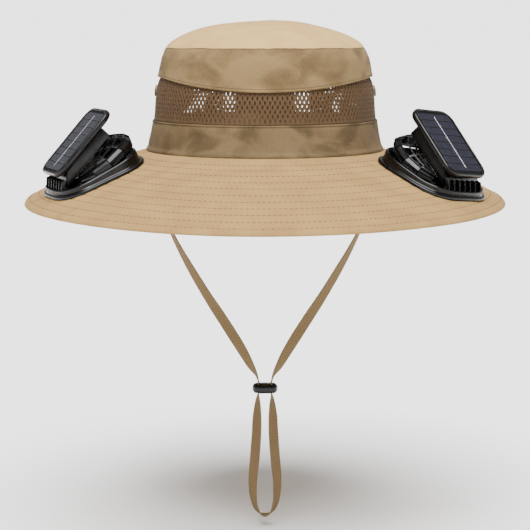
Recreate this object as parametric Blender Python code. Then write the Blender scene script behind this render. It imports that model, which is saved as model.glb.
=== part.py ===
"""Wide-brimmed cotton sun hat with a mesh vent band, a chin strap and two solar fan units.

Metres, +Z up, front towards -Y. The origin is the middle of the head opening, in the plane
of the seam between crown and brim.
"""

import math
from collections import namedtuple

import bmesh
import bpy
from mathutils import Matrix, Vector

# Driving dimensions: crown
CROWN_HALF_WIDTH = 0.088
CROWN_HALF_DEPTH = 0.098
CROWN_HEIGHT = 0.0755
TIP_RISE = 0.0200
CLOTH = 0.0016
LOWER_BAND_HEIGHT = 0.0225
UPPER_BAND_HEIGHT = 0.0210
UPPER_BAND_DIP = 0.0095
MESH_WALL = 0.0010
MESH_RECESS = 0.0008
MESH_COLUMNS = 28
MESH_ROWS = 3
MESH_STRAND_SHARE = 0.34
STUD_RADIUS = 0.0042
STUD_HEIGHT = 0.0016

# Driving dimensions: brim
BRIM_WIDTH = 0.0910
BRIM_SIDE_DROP = 0.0393
BRIM_FRONT_DROP = 0.0415
BRIM_BACK_LIFT = 0.0050
BRIM_CURVE_SIDE = 0.55
BRIM_CURVE_FRONT = 0.77
BRIM_THICKNESS = 0.0022
BINDING_WIDTH = 0.0042
BINDING_THICKNESS = 0.0034

# Driving dimensions: one fan unit
UNIT_AZIMUTH = {"left": 23.0, "right": 27.5}
UNIT_HEADING = {"left": 23.0, "right": 42.0}
UNIT_BRIM_SHARE = 0.505
BASE_HALF_LENGTH = 0.0360
BASE_HALF_WIDTH = 0.0368
BASE_ROUNDNESS = 3.0
FLANGE_THICKNESS = 0.0024
FLANGE_WIDTH = 0.0026
BASE_WALL = 0.0015
BASE_FLOOR = 0.0022
BASE_INNER_HEIGHT = 0.0085
BASE_OUTER_HEIGHT = 0.0042
DUCT_OFFSET = -0.0015
DUCT_RADIUS = 0.0250
COLLAR_WALL = 0.0014
COLLAR_DEPTH = 0.0080
CLAMP_WIDTH = 0.0060
CAGE_INNER_RADIUS = 0.0330
CAGE_OUTER_RADIUS = 0.0265
CAGE_WALL = 0.0016
CAGE_BULGE = 0.0070
CAGE_RIBS = 10
CAGE_TOP_HALF_LENGTH = 0.0195
CAGE_TOP_HALF_WIDTH = 0.0180
PANEL_TILT = 26.0
PANEL_AHEAD = 0.0030
PANEL_HEIGHT = 0.0292
PANEL_LENGTH = 0.0600
PANEL_WIDTH = 0.0450
PANEL_CORNER = 0.0095
PANEL_THICKNESS = 0.0042
BEZEL_WIDTH = 0.0022
CELL_THICKNESS = 0.0008
CELL_RECESS = 0.0012
HOUSING_DEPTH = 0.0086
HOUSING_HALF_WIDTH = 0.0200
HOUSING_TOP_SETBACK = 0.0129
HOUSING_LOW_SETBACK = 0.0080
FOOT_LENGTH = 0.0026
MOTOR_RADIUS = 0.0070
MOTOR_HEIGHT = 0.0024
SHAFT_RADIUS = 0.0012
ROTOR_RADIUS = 0.0160
ROTOR_HEIGHT = 0.0062
HUB_RADIUS = 0.0068
ROTOR_BLADES = 7
BLADE_PITCH = 34.0

# Driving dimensions: chin strap
STRAP_WIDTH = 0.0080
STRAP_THICKNESS = 0.0011
SLIDER_WIDTH = 0.0192
SLIDER_DEPTH = 0.0116
SLIDER_HEIGHT = 0.0076

# Clearance between neighbours, and how finely round shapes are cut
GAP = 0.0003
ROUND_STEPS = 2 * MESH_COLUMNS
UNIT_STEPS = 24

CrownRow = namedtuple("CrownRow", "height width")
Dent = namedtuple("Dent", "azimuth height spread tall depth")
StrapPoint = namedtuple("StrapPoint", "across height turn")

# The crown's side, as shares of its height and of its half width at the seam
CROWN_PROFILE = (
    CrownRow(0.00, 1.000),
    CrownRow(0.05, 0.990),
    CrownRow(0.18, 0.966),
    CrownRow(0.34, 0.941),
    CrownRow(0.50, 0.930),
    CrownRow(0.64, 0.912),
    CrownRow(0.80, 0.892),
    CrownRow(0.90, 0.877),
    CrownRow(1.00, 0.843),
)

# Soft dents of the cloth: azimuth and spread in degrees, heights as shares of the crown's
# height, depths as shares of its half width. A negative depth is a swelling.
CROWN_DENTS = (
    Dent(-128, 0.12, 9, 0.16, 0.014),
    Dent(-104, 0.20, 7, 0.14, -0.008),
    Dent(-72, 0.10, 10, 0.14, 0.012),
    Dent(-47, 0.22, 8, 0.16, -0.009),
    Dent(-20, 0.12, 9, 0.18, 0.010),
    Dent(-150, 0.84, 10, 0.12, 0.010),
    Dent(-112, 0.88, 9, 0.12, -0.007),
    Dent(-66, 0.84, 10, 0.12, 0.009),
    Dent(-35, 0.90, 9, 0.12, -0.006),
    Dent(30, 0.15, 12, 0.18, 0.010),
    Dent(75, 0.20, 10, 0.16, -0.008),
    Dent(118, 0.12, 11, 0.16, 0.012),
    Dent(155, 0.80, 12, 0.14, 0.008),
)

# One half of the chin strap's route, from its sewn end down through the slider to the foot
# of the loop. The other half mirrors it. The turn is how far the tape's width swings away
# from the front plane, in degrees.
STRAP_ROUTE = (
    StrapPoint(0.0818, 0.0150, 90),
    StrapPoint(0.0837, 0.0050, 90),
    StrapPoint(0.0841, -0.0060, 90),
    StrapPoint(0.0827, -0.0220, 88),
    StrapPoint(0.0782, -0.0420, 80),
    StrapPoint(0.0718, -0.0595, 72),
    StrapPoint(0.0646, -0.0747, 60),
    StrapPoint(0.0545, -0.0930, 42),
    StrapPoint(0.0436, -0.1114, 28),
    StrapPoint(0.0337, -0.1268, 12),
    StrapPoint(0.0240, -0.1422, 6),
    StrapPoint(0.0166, -0.1545, 22),
    StrapPoint(0.0106, -0.1655, 48),
    StrapPoint(0.0066, -0.1725, 76),
    StrapPoint(0.0050, -0.1780, 90),
    StrapPoint(0.0049, -0.1824, 90),
    StrapPoint(0.0050, -0.1868, 90),
    StrapPoint(0.0055, -0.1940, 64),
    StrapPoint(0.0061, -0.2060, 34),
    StrapPoint(0.0066, -0.2200, 25),
    StrapPoint(0.0080, -0.2390, 26),
    StrapPoint(0.0094, -0.2545, 36),
    StrapPoint(0.0088, -0.2695, 54),
    StrapPoint(0.0056, -0.2790, 70),
    StrapPoint(0.0000, -0.2822, 90),
)
SLIDER_HEIGHT_ON_STRAP = -0.1824
SLIDER_STRAND_OFFSET = 0.0049
STRAP_STEPS_PER_POINT = 2


def material(name, colour, roughness, metallic=0.0):
    """A plain Principled material, made once and shared by name."""
    made = bpy.data.materials.get(name)
    if made is None:
        made = bpy.data.materials.new(name)
        made.use_nodes = True
        shader = made.node_tree.nodes["Principled BSDF"]
        shader.inputs["Base Color"].default_value = (*colour, 1.0)
        shader.inputs["Roughness"].default_value = roughness
        shader.inputs["Metallic"].default_value = metallic
    return made


def tan_cotton():
    return material("tan_cotton", (0.47, 0.36, 0.24), 0.9)


def tan_mesh():
    return material("tan_mesh", (0.27, 0.18, 0.11), 0.85)


def tan_webbing():
    return material("tan_webbing", (0.30, 0.22, 0.13), 0.85)


def black_plastic():
    return material("black_plastic", (0.012, 0.012, 0.013), 0.3)


def cell_glaze():
    return material("cell_glaze", (0.02, 0.02, 0.035), 0.2)


def dark_metal():
    return material("dark_metal", (0.10, 0.085, 0.06), 0.4, 0.8)


def finish(name, mesh, shade_angle=40.0):
    """Turn a bmesh into a named object with outward faces and smooth round sides."""
    bmesh.ops.recalc_face_normals(mesh, faces=mesh.faces)
    data = bpy.data.meshes.new(name)
    mesh.to_mesh(data)
    mesh.free()
    data.shade_smooth()
    data.set_sharp_from_angle(angle=math.radians(shade_angle))
    made = bpy.data.objects.new(name, data)
    bpy.context.scene.collection.objects.link(made)
    return made


def coat(made, finish_material):
    made.data.materials.append(finish_material)
    return made


def blend(low, high, share):
    return low + (high - low) * share


def circle_angles(steps):
    return [math.tau * step / steps for step in range(steps)]


def skin_between(mesh, first, second):
    """Close the strip of quads between two loops of as many corners."""
    count = len(first)
    for step in range(count):
        after = (step + 1) % count
        mesh.faces.new((first[step], first[after], second[after], second[step]))


def lofted(name, loops, capped):
    """A body through a row of loops: capped at both ends, or turned back on itself."""
    mesh = bmesh.new()
    rings = [[mesh.verts.new(point) for point in loop] for loop in loops]
    for lower, upper in zip(rings, rings[1:]):
        skin_between(mesh, lower, upper)
    if capped:
        mesh.faces.new(rings[0])
        mesh.faces.new(rings[-1])
    else:
        skin_between(mesh, rings[-1], rings[0])
    return finish(name, mesh)


def pierced_wall(name, outer, inner, is_open, poles=None):
    """A ring-shaped wall between two grids of points, with its open cells cut through."""
    mesh = bmesh.new()
    rows = len(outer)
    columns = len(outer[0])
    skins = [[[mesh.verts.new(point) for point in row] for row in grid] for grid in (outer, inner)]
    edges = {}
    for row in range(rows - 1):
        for column in range(columns):
            if is_open(row, column):
                continue
            after = (column + 1) % columns
            corners = ((row, column), (row, after), (row + 1, after), (row + 1, column))
            for skin in skins:
                mesh.faces.new([skin[r][c] for r, c in corners])
            for here, there in zip(corners, corners[1:] + corners[:1]):
                edges.setdefault(frozenset((here, there)), []).append((here, there))
    for sides in edges.values():
        (r0, c0), (r1, c1) = sides[0]
        closed_by_pole = poles is not None and r0 == r1 == rows - 1
        if len(sides) == 1 and not closed_by_pole:
            mesh.faces.new((skins[0][r0][c0], skins[0][r1][c1], skins[1][r1][c1], skins[1][r0][c0]))
    if poles is not None:
        for skin, pole in zip(skins, poles):
            middle = mesh.verts.new(pole)
            for column in range(columns):
                mesh.faces.new((skin[-1][column], skin[-1][(column + 1) % columns], middle))
    for loose in [vert for vert in mesh.verts if not vert.link_faces]:
        mesh.verts.remove(loose)
    return finish(name, mesh)


def never_open(row, column):
    return False


# Crown


def crown_share(height):
    """The crown's half width at a height, as a share of its half width at the seam."""
    level = min(max(height / CROWN_HEIGHT, 0.0), 1.0)
    for lower, upper in zip(CROWN_PROFILE, CROWN_PROFILE[1:]):
        if level <= upper.height:
            return blend(lower.width, upper.width, (level - lower.height) / (upper.height - lower.height))
    return CROWN_PROFILE[-1].width


def dent_share(angle, height):
    """How far the soft dents push the cloth in, as a share of the crown's half width."""
    total = 0.0
    for dent in CROWN_DENTS:
        turn = (math.degrees(angle) - dent.azimuth + 180.0) % 360.0 - 180.0
        rise = height / CROWN_HEIGHT - dent.height
        total += dent.depth * math.exp(-((turn / dent.spread) ** 2) - (rise / dent.tall) ** 2)
    return total


def crown_point(angle, height, inset):
    """A point of the crown's side, a way in from its outer face."""
    share = crown_share(height) - dent_share(angle, height)
    half_width = CROWN_HALF_WIDTH * share - inset
    half_depth = CROWN_HALF_DEPTH * share - inset
    return Vector((half_width * math.cos(angle), half_depth * math.sin(angle), height))


def mesh_top(angle):
    """The folded edge over the mesh, which dips at the front and the back."""
    side_height = CROWN_HEIGHT - UPPER_BAND_HEIGHT
    return side_height - UPPER_BAND_DIP * math.sin(angle) ** 2


def crown_wall(name, bottom, top, levels, wall, recess, is_open=never_open):
    """One band of the crown between two edges, each a height that may vary with azimuth."""
    angles = circle_angles(ROUND_STEPS)
    grids = []
    for inset in (recess, recess + wall):
        grids.append([
            [crown_point(angle, blend(bottom(angle), top(angle), level), inset) for angle in angles]
            for level in levels
        ])
    return pierced_wall(name, grids[0], grids[1], is_open)


def lower_band():
    """The plain band that stands on the brim."""
    return crown_wall(
        "crown_lower_band",
        lambda angle: GAP,
        lambda angle: LOWER_BAND_HEIGHT,
        (0.0, 0.4, 1.0),
        CLOTH,
        0.0,
    )


def mesh_band():
    """The vent band, cut through as a coarse net that stands for its fine one."""
    levels = [0.0]
    for row in range(MESH_ROWS):
        levels.append((row + MESH_STRAND_SHARE) / (MESH_ROWS + MESH_STRAND_SHARE))
        levels.append((row + 1.0) / (MESH_ROWS + MESH_STRAND_SHARE))
    levels.append(1.0)
    return crown_wall(
        "crown_mesh_band",
        lambda angle: LOWER_BAND_HEIGHT + GAP,
        lambda angle: mesh_top(angle) - GAP,
        levels,
        MESH_WALL,
        MESH_RECESS,
        lambda row, column: row % 2 == 1 and column % 2 == 1,
    )


def upper_band():
    """The plain band over the mesh, up to the tip's seam."""
    return crown_wall(
        "crown_upper_band",
        mesh_top,
        lambda angle: CROWN_HEIGHT - GAP,
        (0.0, 0.5, 1.0),
        CLOTH,
        0.0,
    )


def tip():
    """The oval top panel: a low dome that meets the upper band at the tip seam."""
    rise_angles = [math.radians(degrees) for degrees in (0, 17, 36, 56, 76)]
    rim = CROWN_PROFILE[-1].width
    grids = []
    for inset in (0.0, CLOTH):
        rows = []
        for lift in rise_angles:
            row = []
            for angle in circle_angles(ROUND_STEPS):
                share = rim - dent_share(angle, CROWN_HEIGHT) * math.cos(lift)
                across = (CROWN_HALF_WIDTH * share - inset) * math.cos(lift)
                along = (CROWN_HALF_DEPTH * share - inset) * math.cos(lift)
                height = CROWN_HEIGHT + (TIP_RISE - inset) * math.sin(lift)
                row.append(Vector((across * math.cos(angle), along * math.sin(angle), height)))
            rows.append(row)
        grids.append(rows)
    poles = [Vector((0.0, 0.0, CROWN_HEIGHT + TIP_RISE - inset)) for inset in (0.0, CLOTH)]
    return pierced_wall("crown_tip", grids[0], grids[1], never_open, poles)


def side_stud(side, sign):
    """A small press stud on the vent band at the crown's side."""
    height = blend(LOWER_BAND_HEIGHT, mesh_top(0.0), 0.66)
    angle = 0.0 if sign > 0 else math.pi
    loops = []
    for reach, radius in ((0.0, 1.0), (0.45, 1.0), (0.85, 0.72), (1.0, 0.35)):
        loop = []
        for turn in circle_angles(12):
            across = STUD_RADIUS * radius * math.cos(turn)
            level = height + STUD_RADIUS * radius * math.sin(turn)
            seat = crown_point(angle, level, MESH_RECESS - GAP)
            loop.append(Vector((seat.x + sign * STUD_HEIGHT * reach, across, level)))
        loops.append(loop)
    return lofted("side_stud_" + side, loops, True)


# Brim


def brim_curve(angle):
    """How straight the brim falls: 1 is a straight cone, less droops towards the rim."""
    return blend(BRIM_CURVE_SIDE, BRIM_CURVE_FRONT, math.sin(angle) ** 2)


def brim_fall(angle, share):
    """How far the brim has fallen at a share of its width."""
    drop = blend(BRIM_SIDE_DROP, BRIM_FRONT_DROP, math.sin(angle) ** 2)
    drop -= BRIM_BACK_LIFT * (1.0 + math.sin(angle)) / 2
    straight = brim_curve(angle)
    return drop * (straight * share + (1.0 - straight) * share * abs(share))


def brim_point(angle, share):
    """A point of the brim's upper face."""
    half_width = CROWN_HALF_WIDTH + BRIM_WIDTH * share
    half_depth = CROWN_HALF_DEPTH + BRIM_WIDTH * share
    place = Vector((half_width * math.cos(angle), half_depth * math.sin(angle), 0.0))
    place.z = -brim_fall(angle, max(share, 0.0))
    return place


def brim_height(across, along):
    """The height of the brim's upper face over a point of the plan."""
    low, high = -0.9, 1.5
    for _ in range(40):
        share = (low + high) / 2
        half_width = CROWN_HALF_WIDTH + BRIM_WIDTH * share
        half_depth = CROWN_HALF_DEPTH + BRIM_WIDTH * share
        if (across / half_width) ** 2 + (along / half_depth) ** 2 > 1.0:
            low = share
        else:
            high = share
    angle = math.atan2(along / half_depth, across / half_width)
    return -brim_fall(angle, share)


def brim_edge_share():
    """Where the brim's cloth ends and its binding begins."""
    return 1.0 - (BINDING_WIDTH + GAP) / BRIM_WIDTH


def brim(units):
    """The wide brim, cut through under each fan."""
    seam_share = -CLOTH / BRIM_WIDTH
    edge = brim_edge_share()
    shares = [seam_share, 0.0, edge * 0.25, edge * 0.5, edge * 0.75, edge]
    upper = [[brim_point(angle, share) for angle in circle_angles(ROUND_STEPS)] for share in shares]
    under = [[point - Vector((0.0, 0.0, BRIM_THICKNESS)) for point in row] for row in upper]
    made = pierced_wall("brim", upper, under, never_open)
    for side, unit in units.items():
        cutter = disc("duct_cutter_" + side, DUCT_RADIUS + COLLAR_WALL + GAP, COLLAR_DEPTH * 2)
        cutter.matrix_world = unit @ Matrix.Translation((DUCT_OFFSET, 0.0, 0.0))
        cutter.hide_render = True
        cutter.display_type = "WIRE"
        cut = made.modifiers.new("duct_" + side, "BOOLEAN")
        cut.operation = "DIFFERENCE"
        cut.solver = "EXACT"
        cut.object = cutter
    return made


def binding():
    """The rolled hem round the rim."""
    section = ((0.0, 0.36), (0.5, 0.50), (1.0, 0.22), (1.0, -0.22), (0.5, -0.50), (0.0, -0.36))
    loops = []
    start = 1.0 - BINDING_WIDTH / BRIM_WIDTH
    for angle in circle_angles(ROUND_STEPS):
        loop = []
        for reach, rise in section:
            point = brim_point(angle, blend(start, 1.0, reach))
            point.z += rise * BINDING_THICKNESS - BRIM_THICKNESS / 2
            loop.append(point)
        loops.append(loop)
    return lofted("brim_binding", loops, False)


# Fan units: local x runs outwards along the unit, local z stands on the brim


def disc(name, radius, height):
    """A plain round disc, half above and half below its centre."""
    loops = []
    for level in (-height / 2, height / 2):
        loops.append([
            Vector((radius * math.cos(turn), radius * math.sin(turn), level))
            for turn in circle_angles(UNIT_STEPS)
        ])
    return lofted(name, loops, True)


def unit_matrix(side, sign):
    """Where a fan unit stands on the brim: square to it, and turned to its own heading."""
    angle = -math.radians(UNIT_AZIMUTH[side])
    seat = brim_point(angle, UNIT_BRIM_SHARE)
    step = 0.001
    outward = brim_point(angle, UNIT_BRIM_SHARE + step) - seat
    around = brim_point(angle + step, UNIT_BRIM_SHARE) - seat
    normal = outward.cross(around).normalized()
    turn = -math.radians(UNIT_HEADING[side])
    heading = Vector((math.cos(turn), math.sin(turn), 0.0))
    mirror = Vector((sign, 1.0, 1.0))
    seat = seat * mirror
    normal = normal * mirror
    heading = heading * mirror
    heading = (heading - normal * heading.dot(normal)).normalized()
    sideways = normal.cross(heading)
    matrix = Matrix((heading, sideways, normal)).transposed().to_4x4()
    matrix.translation = seat
    return matrix


def brim_under(unit, across, along):
    """The local height at which the brim's upper face lies under a point of the unit."""
    level = 0.0
    for _ in range(12):
        place = unit @ Vector((across, along, level))
        level += (brim_height(place.x, place.y) - place.z) * unit.col[2].z
    return level


def base_outline(inset):
    """The base's rounded plan, a way in from its flange's edge."""
    points = []
    for turn in circle_angles(UNIT_STEPS):
        run, side = math.cos(turn), math.sin(turn)
        power = 2.0 / BASE_ROUNDNESS
        across = (BASE_HALF_LENGTH - inset) * math.copysign(abs(run) ** power, run)
        along = (BASE_HALF_WIDTH - inset) * math.copysign(abs(side) ** power, side)
        points.append((across, along))
    return points


def duct_outline(radius):
    return [
        (DUCT_OFFSET + radius * math.cos(turn), radius * math.sin(turn))
        for turn in circle_angles(UNIT_STEPS)
    ]


def base_wall_height(across):
    """The base's wall is high towards the crown and low at its outer end."""
    share = min(max((across + BASE_HALF_LENGTH) / (1.5 * BASE_HALF_LENGTH), 0.0), 1.0)
    return blend(BASE_INNER_HEIGHT, BASE_OUTER_HEIGHT, share)


def fan_base(side, unit):
    """The moulded base: flange, wall, floor and the collar that goes down through the brim."""
    def on_brim(outline, lift):
        return [Vector((x, y, brim_under(unit, x, y) + lift)) for x, y in outline]

    def at_level(outline, level):
        return [Vector((x, y, level)) for x, y in outline]

    def at_wall_top(outline):
        return [Vector((x, y, base_wall_height(x))) for x, y in outline]

    flange = base_outline(0.0)
    wall_outside = base_outline(FLANGE_WIDTH)
    wall_inside = base_outline(FLANGE_WIDTH + BASE_WALL)
    duct = duct_outline(DUCT_RADIUS)
    collar = duct_outline(DUCT_RADIUS + COLLAR_WALL)
    loops = (
        on_brim(flange, GAP),
        on_brim(flange, GAP + FLANGE_THICKNESS),
        on_brim(wall_outside, GAP + FLANGE_THICKNESS),
        at_wall_top(wall_outside),
        at_wall_top(wall_inside),
        at_level(wall_inside, BASE_FLOOR),
        at_level(duct, BASE_FLOOR),
        at_level(duct, -COLLAR_DEPTH),
        at_level(collar, -COLLAR_DEPTH),
        on_brim(collar, GAP),
    )
    return lofted("fan_base_" + side, loops, False)


def clamp_ring(side, unit):
    """The plain ring under the brim that grips it against the base."""
    bore = duct_outline(DUCT_RADIUS + COLLAR_WALL + GAP)
    edge = duct_outline(DUCT_RADIUS + COLLAR_WALL + GAP + CLAMP_WIDTH)
    foot = -COLLAR_DEPTH
    loops = []
    for outline in (bore, edge):
        loops.append([
            Vector((x, y, brim_under(unit, x, y) - BRIM_THICKNESS - GAP)) for x, y in outline
        ])
    loops.append([Vector((x, y, foot)) for x, y in edge])
    loops.append([Vector((x, y, foot)) for x, y in bore])
    return lofted("fan_clamp_" + side, loops, False)


def panel_place(along, depth):
    """A point of the tilted head, measured from the panel's face: down its length, and deep."""
    tilt = math.radians(PANEL_TILT)
    across = PANEL_AHEAD + along * math.cos(tilt) - depth * math.sin(tilt)
    up = PANEL_HEIGHT - along * math.sin(tilt) - depth * math.cos(tilt)
    return Vector((across, 0.0, up))


def panel_matrix():
    """The panel's own axes: x down its length, z out of its face."""
    matrix = Matrix.Rotation(math.radians(PANEL_TILT), 4, "Y")
    matrix.translation = panel_place(0.0, 0.0)
    return matrix


def housing_back():
    """How deep the housing's underside lies below the panel's face."""
    return PANEL_THICKNESS + GAP + HOUSING_DEPTH


def fan_centre():
    """How far down the panel's length the fan's axis stands."""
    return HOUSING_TOP_SETBACK / 2 - 0.1 * CAGE_TOP_HALF_LENGTH


def rounded_rectangle(length, width, corner, level):
    points = []
    for quarter in range(4):
        middle_x = (length / 2 - corner) * (1 if quarter in (0, 3) else -1)
        middle_y = (width / 2 - corner) * (1 if quarter in (0, 1) else -1)
        for step in range(4):
            turn = math.radians(90 * quarter + 30 * step)
            round_x = middle_x + corner * math.cos(turn)
            round_y = middle_y + corner * math.sin(turn)
            points.append(Vector((round_x, round_y, level)))
    return points


def panel_frame(side):
    """The panel's black frame: a shallow tray that holds the cells."""
    edge = 0.2 * PANEL_THICKNESS

    def outline(inset, corner_cut, level):
        return rounded_rectangle(
            PANEL_LENGTH - 2 * inset, PANEL_WIDTH - 2 * inset, PANEL_CORNER - corner_cut, level
        )

    loops = (
        outline(edge, edge, -PANEL_THICKNESS),
        outline(0.0, 0.0, edge - PANEL_THICKNESS),
        outline(0.0, 0.0, -edge),
        outline(edge, edge, 0.0),
        outline(BEZEL_WIDTH, BEZEL_WIDTH / 2, 0.0),
        outline(BEZEL_WIDTH, BEZEL_WIDTH / 2, -CELL_RECESS),
    )
    return lofted("panel_frame_" + side, loops, True)


def solar_cells(side):
    """The glazed sheet of cells in the frame."""
    length = PANEL_LENGTH - 2 * (BEZEL_WIDTH + GAP)
    width = PANEL_WIDTH - 2 * (BEZEL_WIDTH + GAP)
    corner = PANEL_CORNER - BEZEL_WIDTH / 2 - GAP
    back = GAP - CELL_RECESS
    loops = (
        rounded_rectangle(length, width, corner, back),
        rounded_rectangle(length, width, corner, back + CELL_THICKNESS),
    )
    return lofted("solar_cells_" + side, loops, True)


def housing(side):
    """The block under the panel, with the foot that stands in the base's outer end."""
    front = PANEL_THICKNESS + GAP
    back = housing_back()
    top = HOUSING_TOP_SETBACK - PANEL_LENGTH / 2
    foot_start = DUCT_OFFSET + CAGE_OUTER_RADIUS + 2 * GAP
    floor = BASE_FLOOR + GAP
    low = panel_place(PANEL_LENGTH / 2 - HOUSING_LOW_SETBACK, front)
    under = panel_place(CAGE_TOP_HALF_LENGTH + fan_centre() + CLOTH, back)
    profile = [
        panel_place(top, front),
        low,
        Vector((foot_start + FOOT_LENGTH, 0.0, floor)),
        Vector((foot_start, 0.0, floor)),
        Vector((foot_start, 0.0, blend(floor, under.z, 0.7))),
        under,
        panel_place(top, back),
    ]
    middle = sum(profile, Vector()) / len(profile)
    edge = HOUSING_HALF_WIDTH - 0.12 * HOUSING_DEPTH
    loops = []
    for along, share in ((-HOUSING_HALF_WIDTH, 0.94), (-edge, 1.0), (edge, 1.0), (HOUSING_HALF_WIDTH, 0.94)):
        shift = Vector((0.0, along, 0.0))
        loops.append([middle + (point - middle) * share + shift for point in profile])
    return lofted("fan_housing_" + side, loops, True)


def cage(side):
    """The domed grille: it stands on the base's wall towards the crown, and elsewhere on its floor."""
    levels = (0.0, 0.09, 0.40, 0.47, 0.88, 1.0)
    top_depth = housing_back() + GAP
    angles = []
    for rib in range(CAGE_RIBS):
        start = math.tau * rib / CAGE_RIBS
        angles += [start, start + 0.26 * math.tau / CAGE_RIBS]
    grids = []
    for inset in (0.0, CAGE_WALL):
        rows = []
        for level in levels:
            row = []
            for turn in angles:
                run, sway = math.cos(turn), math.sin(turn)
                inward = (1.0 - run) / 2
                radius = blend(CAGE_OUTER_RADIUS, CAGE_INNER_RADIUS, inward) - inset
                seat = blend(BASE_FLOOR, BASE_INNER_HEIGHT, min(max(-run, 0.0) / 0.8, 1.0)) + GAP
                foot = Vector((DUCT_OFFSET + radius * run, radius * sway, seat))
                head = panel_place(fan_centre() + (CAGE_TOP_HALF_LENGTH - inset) * run, top_depth)
                head.y = (CAGE_TOP_HALF_WIDTH - inset) * sway
                swell = CAGE_BULGE * inward * math.sin(math.pi * level)
                out = Vector((run, sway, 0.15)).normalized()
                row.append(foot.lerp(head, level) + out * swell)
            rows.append(row)
        grids.append(rows)
    return pierced_wall(
        "fan_cage_" + side,
        grids[0],
        grids[1],
        lambda row, column: row in (1, 3) and column % 2 == 1,
    )


def motor(side):
    """The motor's end under the housing, with the shaft that carries the rotor."""
    start = -(housing_back() + GAP)
    shoulder = start - MOTOR_HEIGHT
    tip_level = rotor_top() - 0.6 * ROTOR_HEIGHT
    loops = []
    for radius, level in (
        (MOTOR_RADIUS, start),
        (MOTOR_RADIUS, shoulder),
        (SHAFT_RADIUS, shoulder),
        (SHAFT_RADIUS, tip_level),
    ):
        loops.append([
            Vector((fan_centre() + radius * math.cos(turn), radius * math.sin(turn), level))
            for turn in circle_angles(UNIT_STEPS // 2)
        ])
    return lofted("fan_motor_" + side, loops, True)


def rotor_top():
    """The height of the rotor's upper face in the panel's own axes."""
    return -(housing_back() + GAP) - MOTOR_HEIGHT - 2 * GAP


def rotor(side):
    """The fan wheel: a bored hub whose side carries pitched blades. Its origin is on its axis."""
    mesh = bmesh.new()
    steps = 3 * ROTOR_BLADES
    rings = []
    for radius, level in (
        (SHAFT_RADIUS + GAP, -0.7 * ROTOR_HEIGHT),
        (SHAFT_RADIUS + GAP, 0.0),
        (HUB_RADIUS, 0.0),
        (HUB_RADIUS, -ROTOR_HEIGHT),
    ):
        rings.append([
            mesh.verts.new((radius * math.cos(turn), radius * math.sin(turn), level))
            for turn in circle_angles(steps)
        ])
    for first, second in zip(rings, rings[1:]):
        skin_between(mesh, first, second)
    mesh.faces.new(rings[0])
    mesh.faces.new(rings[-1])
    bmesh.ops.recalc_face_normals(mesh, faces=mesh.faces)
    for blade in range(ROTOR_BLADES):
        turn = math.tau * (3 * blade + 0.5) / steps
        out = Vector((math.cos(turn), math.sin(turn), 0.0))
        middle = out * HUB_RADIUS * math.cos(math.pi / steps) - Vector((0.0, 0.0, ROTOR_HEIGHT / 2))
        root = min(mesh.faces, key=lambda face: (face.calc_center_median() - middle).length)
        grown = bmesh.ops.extrude_face_region(mesh, geom=[root])
        if root.is_valid:
            mesh.faces.remove(root)
        tips = [part for part in grown["geom"] if isinstance(part, bmesh.types.BMVert)]
        bmesh.ops.translate(mesh, verts=tips, vec=out * (ROTOR_RADIUS - HUB_RADIUS))
        centre = sum((vert.co for vert in tips), Vector()) / len(tips)
        pitch = Matrix.Rotation(math.radians(BLADE_PITCH), 3, out)
        bmesh.ops.rotate(mesh, verts=tips, cent=centre, matrix=pitch)
    return finish("fan_rotor_" + side, mesh)


def fan_unit(side, unit):
    """One clip-on unit, carried by an empty that stands on the brim."""
    carrier = bpy.data.objects.new("fan_unit_" + side, None)
    bpy.context.scene.collection.objects.link(carrier)
    carrier.matrix_world = unit
    tilted = bpy.data.objects.new("fan_head_" + side, None)
    bpy.context.scene.collection.objects.link(tilted)
    tilted.parent = carrier
    tilted.matrix_local = panel_matrix()
    for made in (fan_base(side, unit), clamp_ring(side, unit), cage(side), housing(side)):
        coat(made, black_plastic()).parent = carrier
    for made in (panel_frame(side), motor(side), rotor(side)):
        coat(made, black_plastic()).parent = tilted
        if made.name.startswith("fan_rotor"):
            made.location = (fan_centre(), 0.0, rotor_top())
    coat(solar_cells(side), cell_glaze()).parent = tilted


# Chin strap


def strap_points():
    """The strap's whole route: down one side, round the loop and up the other side."""
    there = [StrapPoint(*point) for point in STRAP_ROUTE]
    back = [StrapPoint(-point.across, point.height, point.turn) for point in reversed(there[:-1])]
    return there + back


def smooth_route(points, steps):
    """Points read from a smooth curve through a route's own points."""
    rows = [Vector(point) for point in points]
    rows = [2 * rows[0] - rows[1]] + rows + [2 * rows[-1] - rows[-2]]
    curve = []
    for before, start, end, after in zip(rows, rows[1:], rows[2:], rows[3:]):
        for step in range(steps):
            share = step / steps
            curve.append(0.5 * (
                2 * start
                + (end - before) * share
                + (2 * before - 5 * start + 4 * end - after) * share ** 2
                + (3 * start - before - 3 * end + after) * share ** 3
            ))
    curve.append(rows[-2])
    return curve


def chin_strap():
    """The flat tape, a plain strip that turns as it hangs."""
    curve = smooth_route(strap_points(), STRAP_STEPS_PER_POINT)
    places = [Vector((point.x, 0.0, point.y)) for point in curve]
    loops = []
    for number, place in enumerate(places):
        before = places[max(number - 1, 0)]
        after = places[min(number + 1, len(places) - 1)]
        along = (after - before).normalized()
        sideways = along.cross(Vector((0.0, 1.0, 0.0)))
        turn = math.radians(curve[number].z)
        wide = sideways * math.cos(turn) + Vector((0.0, 1.0, 0.0)) * math.sin(turn)
        thick = along.cross(wide)
        loops.append([
            place + wide * (STRAP_WIDTH / 2 * a) + thick * (STRAP_THICKNESS / 2 * b)
            for a, b in ((-1, -1), (1, -1), (1, 1), (-1, 1))
        ])
    return lofted("chin_strap", loops, True)


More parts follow.
